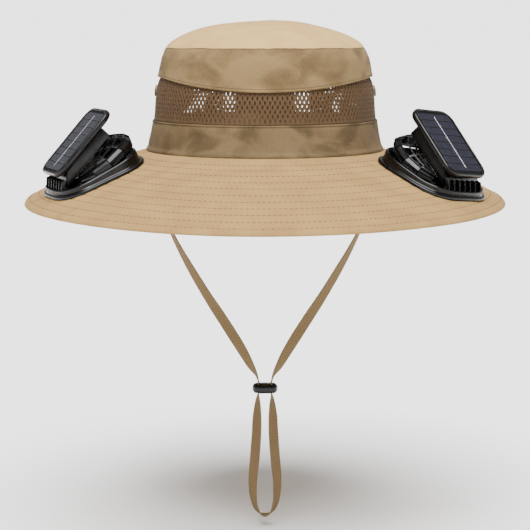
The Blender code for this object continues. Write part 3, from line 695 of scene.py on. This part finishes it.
# Side studs
# A small press stud, pressed from dark brass, on the net at each side of the crown.

STUD_RADIUS = 0.0042
STUD_HEIGHT = 0.0016
STUD_STEPS = 32
STUD_OUTLINE = (
    (0.0, 1.0), (0.40, 1.0), (0.62, 0.95), (0.80, 0.82), (0.93, 0.60), (1.0, 0.32), (1.0, 0.10),
)
LOWER_BAND_HEIGHT = 0.0225
TARNISH = 0.00167

# Blackened brass: a dull dark metal, worn a little brighter in spots.
dark_brass, tree, shader = started_material("blackened_pressed_brass", "#6b5a44", 0.38, 1.5, 0.9)
place = add_node(tree, "ShaderNodeTexCoord")
tarnish = add_node(
    tree, "ShaderNodeTexNoise", {"Scale": 1.0 / TARNISH, "Detail": 3.0}, {"Vector": place.outputs["Object"]},
)
dull = add_node(tree, "ShaderNodeMapRange", {1: 0.3, 2: 0.7, 3: 0.28, 4: 0.5}, {0: tarnish.outputs["Fac"]})
tree.links.new(dull.outputs[0], shader.inputs["Roughness"])

for side, sign in (("left", -1), ("right", 1)):
    level = between(LOWER_BAND_HEIGHT, net_top(0.0), 0.66)
    angle = 0.0 if sign > 0 else math.pi
    rings = []
    for reach, radius in STUD_OUTLINE:
        ring = []
        for step in range(STUD_STEPS):
            turn = math.tau * step / STUD_STEPS
            height = level + STUD_RADIUS * radius * math.sin(turn)
            seat = crown_point(angle, height, -0.0005)
            ring.append(Vector((
                seat.x + sign * STUD_HEIGHT * reach, STUD_RADIUS * radius * math.cos(turn), height,
            )))
        rings.append(ring)
    stud = put_down("press_stud_" + side, drawn_out(rings, "capped"), dark_brass)
    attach(stud, "hat")
    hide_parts("side_stud_" + side)

# Brim
# Two layers of cotton drill with a stiffener between them, topstitched round and round. The
# cloth puffs a little between the rows, and droops from the crown to the rim.

BRIM_WIDTH = 0.0910
BRIM_SIDE_DROP = 0.0393
BRIM_FRONT_DROP = 0.0415
BRIM_BACK_LIFT = 0.0050
BRIM_CURVE_SIDE = 0.55
BRIM_CURVE_FRONT = 0.77
BRIM_THICKNESS = 0.0022
BRIM_STEPS = 360
BRIM_TUCK = 0.0031
BRIM_INNER_EDGE = -0.0016
STITCH_ROWS = (0.121, 0.204, 0.290, 0.382, 0.470, 0.559, 0.643, 0.724, 0.800, 0.881)
BRIM_PUFF = (
    (0.0, -0.00016), (0.10, 0.00004), (0.3, 0.00016), (0.5, 0.0002), (0.7, 0.00016), (0.90, 0.00004),
)
UNIT_AZIMUTH = {"left": 23.0, "right": 27.5}
UNIT_HEADING = {"left": 23.0, "right": 42.0}
UNIT_BRIM_SHARE = 0.505
DUCT_OFFSET = -0.0015
DUCT_RADIUS = 0.0250
COLLAR_WALL = 0.0014
RING_STEPS = 96
GAP = 0.0003


def brim_fall(angle, share):
    """How far the brim has dropped at a share of its width."""
    drop = between(BRIM_SIDE_DROP, BRIM_FRONT_DROP, math.sin(angle) ** 2)
    drop -= BRIM_BACK_LIFT * (1.0 + math.sin(angle)) / 2
    straight = between(BRIM_CURVE_SIDE, BRIM_CURVE_FRONT, math.sin(angle) ** 2)
    return drop * (straight * share + (1.0 - straight) * share * abs(share))


def brim_point(angle, share):
    """A point of the brim's upper face, at a share of its width."""
    return Vector((
        (CROWN_HALF_WIDTH + BRIM_WIDTH * share) * math.cos(angle),
        (CROWN_HALF_DEPTH + BRIM_WIDTH * share) * math.sin(angle),
        -brim_fall(angle, max(share, 0.0)),
    ))


def unit_matrix(side, sign):
    """Where a fan unit stands on the brim: square to it, and turned to its own heading."""
    angle = -math.radians(UNIT_AZIMUTH[side])
    seat = brim_point(angle, UNIT_BRIM_SHARE)
    outward = brim_point(angle, UNIT_BRIM_SHARE + 0.001) - seat
    around = brim_point(angle + 0.001, UNIT_BRIM_SHARE) - seat
    mirror = Vector((sign, 1.0, 1.0))
    normal = outward.cross(around).normalized() * mirror
    turn = -math.radians(UNIT_HEADING[side])
    heading = Vector((math.cos(turn), math.sin(turn), 0.0)) * mirror
    heading = (heading - normal * heading.dot(normal)).normalized()
    matrix = Matrix((heading, normal.cross(heading), normal)).transposed().to_4x4()
    matrix.translation = seat * mirror
    return matrix


def round_outline(radius):
    """A ring round a fan unit's air duct, in the unit's own plan."""
    turns = [math.tau * step / RING_STEPS for step in range(RING_STEPS)]
    return [(DUCT_OFFSET + radius * math.cos(turn), radius * math.sin(turn)) for turn in turns]


def brim_outline():
    """The brim's section: puffed between its rows of stitches and drawn in at each."""
    rows = (BRIM_INNER_EDGE / BRIM_WIDTH,) + STITCH_ROWS + (1.0 - BRIM_TUCK / BRIM_WIDTH,)
    upper, under = [], []
    for start, end in zip(rows, rows[1:]):
        for share, puff in BRIM_PUFF:
            upper.append((between(start, end, share), puff))
            if share in (0.0, 0.3, 0.7):
                under.append((between(start, end, share), -BRIM_THICKNESS - puff * 0.6))
    upper.append((rows[-1], 0.0))
    under.append((rows[-1], -BRIM_THICKNESS))
    return upper + under[::-1]


brim_cotton = cotton_drill("tan_cotton_drill_brim", "#927445", "#886b3e")
body = turned(brim_outline(), BRIM_STEPS)


def on_brim(angle, out, level):
    """A point of the brim's cloth, which waves a little towards the rim."""
    wave = 0.0005 * noise.noise(Vector((math.cos(angle) * 2.0, math.sin(angle) * 2.0, out * 3.0)))
    return brim_point(angle, out) + Vector((0.0, 0.0, level + wave * eased(out, 0.2, 1.0)))


settled(body, on_brim)
grain_flat(body)
brim = put_down("brim_cloth", body, brim_cotton, 60.0)
for side, sign in (("left", -1.0), ("right", 1.0)):
    hole = round_outline(DUCT_RADIUS + COLLAR_WALL + GAP)
    body = drawn_out([[Vector((x, y, level)) for x, y in hole] for level in (-0.02, 0.02)], "capped")
    bmesh.ops.transform(body, matrix=unit_matrix(side, sign), verts=body.verts)
    cut_out(brim, body, brim_cotton)
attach(brim, "hat")
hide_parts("brim")

# Brim binding
# A strip of the same drill, folded over the rim and stitched down: a soft flat roll.

BINDING_PUCKER = 0.00012
BINDING_OUTLINE = (
    (0.954, 0.0009), (0.957, 0.0014), (0.966, 0.0016), (0.976, 0.0016), (0.986, 0.0013),
    (0.994, 0.0008), (0.999, 0.0002), (1.000, -0.0006), (0.997, -0.0012), (0.990, -0.0015),
    (0.978, -0.0017), (0.966, -0.0016), (0.957, -0.0014), (0.954, -0.0009),
)
body = turned(BINDING_OUTLINE, BRIM_STEPS)


def on_rim(angle, out, level):
    """A point of the binding, which puckers a little along its inner edge."""
    pucker = BINDING_PUCKER * math.sin(angle * 190.0) * (1.0 - eased(out, 0.960, 0.990))
    place = on_brim(angle, out, 0.0)
    return place + Vector((0.0, 0.0, level + pucker - BRIM_THICKNESS / 2))


settled(body, on_rim)
grain_flat(body)
binding = put_down("brim_binding_cloth", body, brim_cotton, 60.0)
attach(binding, "hat")
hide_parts("brim_binding")

# Stitching
# Cotton thread, darker than the cloth: long topstitches round the brim and the hem, and
# round the crown's seams and folds. Each stitch lies in the groove that it draws in.

STITCH_PITCH = 0.0036
STITCH_LENGTH = 0.0024
STITCH_WIDTH = 0.00050
STITCH_HEIGHT = 0.00040
FINE_STITCH = (0.0030, 0.0020, 0.0004)
THREAD_TWIST = 0.000667
SEW_SAMPLES = 720

# Twisted cotton thread: matt, and mottled by its twist.
sewing_thread, tree, shader = started_material("twisted_cotton_thread", "#5c452e", 0.8, 1.47)
place = add_node(tree, "ShaderNodeTexCoord")
twist = add_node(
    tree, "ShaderNodeTexNoise", {"Scale": 1.0 / THREAD_TWIST}, {"Vector": place.outputs["Object"]},
)
tone = add_node(
    tree, "ShaderNodeMix",
    {"data_type": "RGBA", 6: linear("#4a3623"), 7: linear("#6b5238")}, {0: twist.outputs["Fac"]},
)
tree.links.new(tone.outputs[2], shader.inputs["Base Color"])


def sew(body, line, lift, pitch=STITCH_PITCH, length=STITCH_LENGTH, width=STITCH_WIDTH):
    """Sew one closed row of stitches along a line given by azimuth, and standing off its face."""
    samples = [line(math.tau * step / SEW_SAMPLES) for step in range(SEW_SAMPLES + 1)]
    run = [0.0]
    for before, after in zip(samples, samples[1:]):
        run.append(run[-1] + (after - before).length)
    count = round(run[-1] / pitch)
    place = 0
    for number in range(count):
        target = run[-1] * (number + 0.5) / count
        while run[place + 1] < target:
            place += 1
        share = (target - run[place]) / (run[place + 1] - run[place])
        angle = math.tau * (place + share) / SEW_SAMPLES
        here = line(angle)
        along = (line(angle + 0.003) - line(angle - 0.003)).normalized()
        up = lift(angle).normalized()
        aside = up.cross(along).normalized()
        up = along.cross(aside)
        matrix = Matrix((along * length, aside * width, up * STITCH_HEIGHT)).transposed().to_4x4()
        matrix.translation = here
        stitch = bmesh.ops.create_cube(body, size=1.0, matrix=matrix)["verts"]
        ends = [vert for vert in stitch if (vert.co - here).dot(up) > 0.0]
        for vert in ends:
            off = vert.co - here
            vert.co = here + up * off.dot(up) + (off - up * off.dot(up)) * 0.72


body = bmesh.new()
for share in STITCH_ROWS:
    sew(body, lambda angle: on_brim(angle, share, -0.00012),
        lambda angle: (brim_point(angle, share + 0.01) - brim_point(angle, share)).cross(
            brim_point(angle + 0.01, share) - brim_point(angle, share)))
sew(body, lambda angle: on_rim(angle, 0.961, 0.0015), lambda angle: Vector((0.0, 0.0, 1.0)))
brim_stitches = put_down("brim_stitches", body, sewing_thread, 30.0)
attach(brim_stitches, "hat")

body = bmesh.new()
for share, out in ((0.062, -0.0001), (0.985, -0.0004)):
    sew(body, lambda angle: on_upper_band(angle, out, share),
        straight_out, *FINE_STITCH)
sew(body, lambda angle: crown_point(angle, 0.0208, -0.0003), straight_out, *FINE_STITCH)
crown_stitches = put_down("crown_stitches", body, sewing_thread, 30.0)
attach(crown_stitches, "hat")

# Fan units
# Two clip-on units in glossy black ABS. Each has a base that clamps through the brim, a domed
# grille, and a housing that holds the motor, the battery and a small solar panel at a tilt.

BASE_HALF_LENGTH = 0.0360
BASE_HALF_WIDTH = 0.0368
BASE_ROUNDNESS = 3.0
FLANGE_THICKNESS = 0.0024
FLANGE_WIDTH = 0.0026
BASE_WALL = 0.0015
BASE_FLOOR = 0.0022
BASE_INNER_HEIGHT = 0.0085
BASE_OUTER_HEIGHT = 0.0042
COLLAR_DEPTH = 0.0080
CLAMP_WIDTH = 0.0060
CAGE_INNER_RADIUS = 0.0330
CAGE_OUTER_RADIUS = 0.0265
CAGE_WALL = 0.0011
CAGE_BULGE = 0.0090
CAGE_TOP_HALF_LENGTH = 0.0195
CAGE_TOP_HALF_WIDTH = 0.0180
PANEL_TILT = 26.0
PANEL_AHEAD = 0.0030
PANEL_HEIGHT = 0.0292
PANEL_LENGTH = 0.0600
PANEL_WIDTH = 0.0450
PANEL_CORNER = 0.0095
PANEL_THICKNESS = 0.0042
BEZEL_WIDTH = 0.0022
CELL_RECESS = 0.0012
HOUSING_DEPTH = 0.0086
HOUSING_HALF_WIDTH = 0.0200
HOUSING_TOP_SETBACK = 0.0129
HOUSING_LOW_SETBACK = 0.0080
FOOT_LENGTH = 0.0026
CELL_STRIPS = 8
GRILLE_RIBS = 14
GRILLE_LEVELS = (0.0, 0.12, 0.36, 0.58, 0.76, 0.89, 1.0)
GRILLE_RIB = 0.0014
PANE_ROWS = (1, 2)
PANE_DEPTH = 0.0012
CELL_GAP = 0.0008
CELL_MARGIN = 0.0030
BUSBAR_WIDTH = 0.0007
FIN_COUNT = 7
FIN_SIZE = (0.0062, 0.0010, 0.0075)
FIN_SPREAD = 0.0190
FIN_AHEAD = 0.0280
FIN_LEVEL = BASE_FLOOR + 0.0037
FIN_LEAN = 0.0035
EDGE_ROUND = 0.0005
EDGE_TRIM = 0.0004
HOUSING_EDGE = 0.0011
TRAY_EDGE = 0.0013
CORNER_STEPS = 8
SILICON_CRYSTAL = 0.00385
LAMINATE_WEAVE = 0.00083
SILVER_STREAK = 0.00111


def softened(body, offset, segments=1):
    """Round over all the edges of a body."""
    bmesh.ops.bevel(
        body, geom=body.edges[:], offset=offset, affect="EDGES", segments=segments, profile=0.5,
        material=-1, clamp_overlap=segments > 1,
    )


def fitted(name, body, place, material, crease=35.0, outward=True):
    """Move a body to its place on the brim and turn it into a piece."""
    bmesh.ops.transform(body, matrix=place, verts=body.verts)
    return put_down(name, body, material, crease, outward)


def brim_height(across, along):
    """The height of the brim's upper face over a point of the plan."""
    low, high = -0.9, 1.5
    for _ in range(36):
        share = (low + high) / 2
        wide = CROWN_HALF_WIDTH + BRIM_WIDTH * share
        deep = CROWN_HALF_DEPTH + BRIM_WIDTH * share
        if (across / wide) ** 2 + (along / deep) ** 2 > 1.0:
            low = share
        else:
            high = share
    return -brim_fall(math.atan2(along / deep, across / wide), share)


def brim_under(unit, across, along):
    """The unit's own height at which the brim lies under a point of it."""
    level = 0.0
    for _ in range(12):
        place = unit @ Vector((across, along, level))
        level += (brim_height(place.x, place.y) - place.z) * unit.col[2].z
    return level


def base_outline(inset):
    """The base's rounded plan, a way in from its flange's edge."""
    power = 2.0 / BASE_ROUNDNESS
    points = []
    for step in range(RING_STEPS):
        turn = math.tau * step / RING_STEPS
        run, sway = math.cos(turn), math.sin(turn)
        points.append((
            (BASE_HALF_LENGTH - inset) * math.copysign(abs(run) ** power, run),
            (BASE_HALF_WIDTH - inset) * math.copysign(abs(sway) ** power, sway),
        ))
    return points


def base_wall_height(across):
    """The wall's height, which falls from the crown's side to the outer end."""
    share = min(max((across + BASE_HALF_LENGTH) / (1.5 * BASE_HALF_LENGTH), 0.0), 1.0)
    return between(BASE_INNER_HEIGHT, BASE_OUTER_HEIGHT, share)


def panel_place(along, depth):
    """A point of the tilted head: down the panel's length, and deep from its face."""
    tilt = math.radians(PANEL_TILT)
    return Vector((
        PANEL_AHEAD + along * math.cos(tilt) - depth * math.sin(tilt),
        0.0,
        PANEL_HEIGHT - along * math.sin(tilt) - depth * math.cos(tilt),
    ))


HOUSING_BACK = PANEL_THICKNESS + GAP + HOUSING_DEPTH
FAN_CENTRE = HOUSING_TOP_SETBACK / 2 - 0.1 * CAGE_TOP_HALF_LENGTH


def cage_point(turn, level, inset):
    """A point of the grille's dome, from its foot up to the housing's underside."""
    run, sway = math.cos(turn), math.sin(turn)
    inward = (1.0 - run) / 2
    radius = between(CAGE_OUTER_RADIUS, CAGE_INNER_RADIUS, inward) - inset
    seat = between(BASE_FLOOR, BASE_INNER_HEIGHT, min(max(-run, 0.0) / 0.8, 1.0)) + GAP
    foot = Vector((DUCT_OFFSET + radius * run, radius * sway, seat))
    head = panel_place(FAN_CENTRE + (CAGE_TOP_HALF_LENGTH - inset) * run, HOUSING_BACK + GAP)
    head.y = (CAGE_TOP_HALF_WIDTH - inset) * sway
    swell = CAGE_BULGE * inward * math.sin(math.pi * level)
    return foot.lerp(head, level) + Vector((run, sway, 0.15)).normalized() * swell


# Solar cell: deep violet silicon under clear resin, so it shines like glass.
solar_silicon, tree, shader = started_material("silicon_cell_under_resin", "#12121c", 0.22, 1.5)
shader.inputs["Specular IOR Level"].default_value = 0.35
place = add_node(tree, "ShaderNodeTexCoord")
crystal = add_node(
    tree, "ShaderNodeTexVoronoi", {"Scale": 1.0 / SILICON_CRYSTAL}, {"Vector": place.outputs["Object"]},
)
tone = add_node(
    tree, "ShaderNodeMix",
    {"data_type": "RGBA", 6: linear("#0c0c14"), 7: linear("#171726")}, {0: crystal.outputs["Distance"]},
)
tree.links.new(tone.outputs[2], shader.inputs["Base Color"])

# Backing of the cells: matt black laminate, which shows as thin dark lines between them.
black_laminate, tree, shader = started_material("matt_black_laminate", "#08080a", 0.7, 1.5)
shader.inputs["Specular IOR Level"].default_value = 0.1
place = add_node(tree, "ShaderNodeTexCoord")
weave = add_node(
    tree, "ShaderNodeTexNoise", {"Scale": 1.0 / LAMINATE_WEAVE}, {"Vector": place.outputs["Object"]},
)
rise = add_node(
    tree, "ShaderNodeBump", {"Strength": 0.2, "Distance": 0.0001}, {"Height": weave.outputs["Fac"]},
)
tree.links.new(rise.outputs[0], shader.inputs["Normal"])

# Busbar: a printed silver line, satin.
printed_silver, tree, shader = started_material("printed_silver_busbar", "#c9c9cc", 0.35, 1.5, 0.8)
place = add_node(tree, "ShaderNodeTexCoord")
streak = add_node(
    tree, "ShaderNodeTexNoise", {"Scale": 1.0 / SILVER_STREAK}, {"Vector": place.outputs["Object"]},
)
rise = add_node(
    tree, "ShaderNodeBump", {"Strength": 0.2, "Distance": 0.0001}, {"Height": streak.outputs["Fac"]},
)
tree.links.new(rise.outputs[0], shader.inputs["Normal"])

for side, sign in (("left", -1.0), ("right", 1.0)):
    unit = unit_matrix(side, sign)
    head = Matrix.Rotation(math.radians(PANEL_TILT), 4, "Y")
    head.translation = panel_place(0.0, 0.0)

    # Base: flange, wall, floor and the collar that goes down through the brim
    def on_unit(outline, lift):
        return [Vector((x, y, brim_under(unit, x, y) + lift)) for x, y in outline]

    def level_ring(outline, level):
        return [Vector((x, y, level)) for x, y in outline]

    def wall_ring(outline, lower):
        return [Vector((x, y, base_wall_height(x) - lower)) for x, y in outline]

    top = GAP + FLANGE_THICKNESS
    outer, inner = FLANGE_WIDTH, FLANGE_WIDTH + BASE_WALL
    sleeve = DUCT_RADIUS + COLLAR_WALL
    rings = [
        on_unit(base_outline(EDGE_TRIM), GAP),
        on_unit(base_outline(0.0), GAP + EDGE_ROUND),
        on_unit(base_outline(0.0), top - 0.0008),
        on_unit(base_outline(0.0003), top - 0.0003),
        on_unit(base_outline(0.0008), top),
        on_unit(base_outline(outer - EDGE_TRIM), top),
        on_unit(base_outline(outer), top + EDGE_ROUND),
        wall_ring(base_outline(outer), EDGE_ROUND),
        wall_ring(base_outline(outer + EDGE_TRIM), 0.0),
        wall_ring(base_outline(inner - EDGE_TRIM), 0.0),
        wall_ring(base_outline(inner), EDGE_ROUND),
        level_ring(base_outline(inner), BASE_FLOOR),
        level_ring(round_outline(DUCT_RADIUS + EDGE_TRIM), BASE_FLOOR),
        level_ring(round_outline(DUCT_RADIUS), BASE_FLOOR - EDGE_TRIM),
        level_ring(round_outline(DUCT_RADIUS), EDGE_TRIM - COLLAR_DEPTH),
        level_ring(round_outline(DUCT_RADIUS + EDGE_TRIM), -COLLAR_DEPTH),
        level_ring(round_outline(sleeve), -COLLAR_DEPTH),
        on_unit(round_outline(sleeve), GAP),
    ]
    body = drawn_out(rings, "joined")
    base = fitted("fan_base_shell_" + side, body, unit, glossy_abs)
    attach(base, "hat")
    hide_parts("fan_base_" + side)

    # Fins: thin upright ribs that stiffen the base's outer end
    body = bmesh.new()
    for number in range(FIN_COUNT):
        y = between(-FIN_SPREAD, FIN_SPREAD, number / (FIN_COUNT - 1))
        for vert in add_block(body, FIN_SIZE, (FIN_AHEAD, y, FIN_LEVEL)):
            if vert.co.z > FIN_LEVEL:
                vert.co.x -= FIN_LEAN
    softened(body, 0.00025)
    fins = fitted("fan_base_fins_" + side, body, unit, glossy_abs)
    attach(fins, "hat")

    # Clamp ring: a plain washer under the brim
    bore = DUCT_RADIUS + COLLAR_WALL + GAP
    rim = bore + CLAMP_WIDTH
    under = -BRIM_THICKNESS - GAP
    body = drawn_out([
        on_unit(round_outline(bore), under),
        on_unit(round_outline(rim - EDGE_ROUND), under),
        on_unit(round_outline(rim), under - EDGE_ROUND),
        level_ring(round_outline(rim), EDGE_ROUND - COLLAR_DEPTH),
        level_ring(round_outline(rim - EDGE_ROUND), -COLLAR_DEPTH),
        level_ring(round_outline(bore), -COLLAR_DEPTH),
    ], "joined")
    clamp = fitted("fan_clamp_ring_" + side, body, unit, glossy_abs)
    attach(clamp, "hat")
    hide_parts("fan_clamp_" + side)

    # Grille: a dome of ribs and rings, with sunk panes low down and open windows above
    rings = [
        [cage_point(math.tau * step / GRILLE_RIBS, level, 0.0) for step in range(GRILLE_RIBS)]
        for level in GRILLE_LEVELS
    ]
    body = drawn_out(rings)
    bmesh.ops.recalc_face_normals(body, faces=body.faces)
    ring_mark = body.verts.layers.int["ring"]
    panes, windows = [], []
    for face in body.faces:
        row = min(vert[ring_mark] for vert in face.verts)
        if row in PANE_ROWS:
            panes.append(face)
        elif 0 < row:
            windows.append(face)
    outward = panes[0].normal.dot(panes[0].calc_center_median() - Vector((0.0, 0.0, 0.01))) > 0.0
    if not outward:
        bmesh.ops.reverse_faces(body, faces=body.faces)
    bmesh.ops.inset_individual(body, faces=panes, thickness=GRILLE_RIB / 2, depth=-PANE_DEPTH)
    bmesh.ops.inset_individual(body, faces=windows, thickness=GRILLE_RIB / 2)
    bmesh.ops.delete(body, geom=windows, context="FACES")
    grille = fitted("fan_grille_" + side, body, unit, glossy_abs, 30.0, outward=False)
    wall = grille.modifiers.new("rib_thickness", "SOLIDIFY")
    wall.thickness = CAGE_WALL
    wall.offset = -1.0
    round_over = grille.modifiers.new("round_ribs", "BEVEL")
    round_over.width = 0.00025
    round_over.segments = 2
    round_over.limit_method = "ANGLE"
    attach(grille, "hat")
    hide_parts("fan_cage_" + side)

    # Housing: the block under the panel, with its foot in the base's outer end
    front = PANEL_THICKNESS + GAP
    top = HOUSING_TOP_SETBACK - PANEL_LENGTH / 2
    foot_start = DUCT_OFFSET + CAGE_OUTER_RADIUS + 2 * GAP
    floor = BASE_FLOOR + GAP
    under = panel_place(CAGE_TOP_HALF_LENGTH + FAN_CENTRE + 0.0016, HOUSING_BACK)
    profile = [
        panel_place(top, front),
        panel_place(PANEL_LENGTH / 2 - HOUSING_LOW_SETBACK, front),
        Vector((foot_start + FOOT_LENGTH, 0.0, floor)),
        Vector((foot_start, 0.0, floor)),
        Vector((foot_start, 0.0, between(floor, under.z, 0.7))),
        under,
        panel_place(top, HOUSING_BACK),
    ]
    body = drawn_out([
        [point + Vector((0.0, way * HOUSING_HALF_WIDTH, 0.0)) for point in profile] for way in (-1, 1)
    ], "capped")
    softened(body, HOUSING_EDGE, 3)
    housing = fitted("fan_housing_block_" + side, body, unit, glossy_abs, 50.0)
    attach(housing, "hat")
    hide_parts("fan_housing_" + side)

    # Panel frame: a shallow tray with soft round edges
    rings = pillow_rings(
        PANEL_LENGTH, PANEL_WIDTH, PANEL_CORNER, -PANEL_THICKNESS, 0.0, TRAY_EDGE, CORNER_STEPS,
    )
    for wider, level in ((EDGE_TRIM, 0.0), (0.0, -0.0003), (0.0, -CELL_RECESS)):
        rings.append(rounded_outline(
            PANEL_LENGTH - 2 * BEZEL_WIDTH + wider, PANEL_WIDTH - 2 * BEZEL_WIDTH + wider,
            PANEL_CORNER - BEZEL_WIDTH / 2, CORNER_STEPS, level,
        ))
    body = drawn_out(rings, "capped")
    tray = fitted("panel_tray_" + side, body, unit @ head, glossy_abs, 40.0)
    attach(tray, "hat")
    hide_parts("panel_frame_" + side)

    # Cells: strips of silicon side by side on a dark sheet, joined by one silver line
    length = PANEL_LENGTH - 2 * (BEZEL_WIDTH + GAP)
    width = PANEL_WIDTH - 2 * (BEZEL_WIDTH + GAP)
    back = GAP - CELL_RECESS
    face = back + 0.0004
    corner = PANEL_CORNER - BEZEL_WIDTH / 2 - GAP
    body = drawn_out([
        rounded_outline(length, width, corner, CORNER_STEPS, level) for level in (back, face)
    ], "capped")
    sheet = fitted("cell_sheet_" + side, body, unit @ head, black_laminate)
    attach(sheet, "hat")
    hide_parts("solar_cells_" + side)

    body = bmesh.new()
    pitch = (length - CELL_MARGIN) / CELL_STRIPS
    for number in range(CELL_STRIPS):
        x = pitch * (number + 0.5) - pitch * CELL_STRIPS / 2
        add_block(body, (pitch - CELL_GAP, width - CELL_MARGIN, 0.0002), (x, 0.0, face))
    softened(body, 0.00005)
    cells = fitted("cell_strips_" + side, body, unit @ head, solar_silicon)
    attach(cells, "hat")

    body = bmesh.new()
    add_block(body, (0.84 * length, BUSBAR_WIDTH, 0.00012), (0.0, 0.0, face + 0.00013))
    softened(body, 0.00003)
    busbar = fitted("cell_busbar_" + side, body, unit @ head, printed_silver)
    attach(busbar, "hat")

    # Motor and fan wheel: moulded in the same plastic, dark behind the grille
    for node in ("fan_motor_" + side, "fan_rotor_" + side):
        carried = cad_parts[node]
        carried.data.materials.clear()
        carried.data.materials.append(glossy_abs)

# Floor, light and air
# A pale matt floor that runs out of sight, one broad soft lamp high in front, a small one that
# gives the plastic its glints, and white air that is brightest along the horizon.

FLOOR_LEVEL = -0.2925

pale_floor, tree, shader = started_material("pale_matt_floor", "#f8f8f8", 0.9)
shader.inputs["Specular IOR Level"].default_value = 0.1
body = bmesh.new()
bmesh.ops.create_grid(body, x_segments=1, y_segments=1, size=30.0)
bmesh.ops.translate(body, verts=body.verts, vec=(0.0, 0.0, FLOOR_LEVEL))
floor_sheet = put_down("floor", body, pale_floor)

for name, energy, spread, lean in (
    ("soft_key", 9.2, 55.0, (23.0, 0.0)),
    ("small_glint", 0.7, 9.0, (38.0, -14.0)),
):
    lamp = bpy.data.lights.new(name, "SUN")
    lamp.energy = energy
    lamp.angle = math.radians(spread)
    stand = bpy.data.objects.new(name, lamp)
    bpy.context.scene.collection.objects.link(stand)
    stand.rotation_euler = (math.radians(lean[0]), math.radians(lean[1]), 0.0)

air = bpy.data.worlds.new("white_air")
bpy.context.scene.world = air
air.use_nodes = True
tree = air.node_tree
sky = tree.nodes["Background"]
sky.inputs["Color"].default_value = (1.0, 1.0, 1.0, 1.0)
way = add_node(tree, "ShaderNodeTexCoord")
split = add_node(tree, "ShaderNodeSeparateXYZ", {}, {"Vector": way.outputs["Generated"]})
glow = add_node(
    tree, "ShaderNodeMapRange",
    {"interpolation_type": "SMOOTHSTEP", 1: 0.02, 2: 0.12, 3: 2.95, 4: 0.42},
    {0: split.outputs["Z"]},
)
tree.links.new(glow.outputs[0], sky.inputs["Strength"])
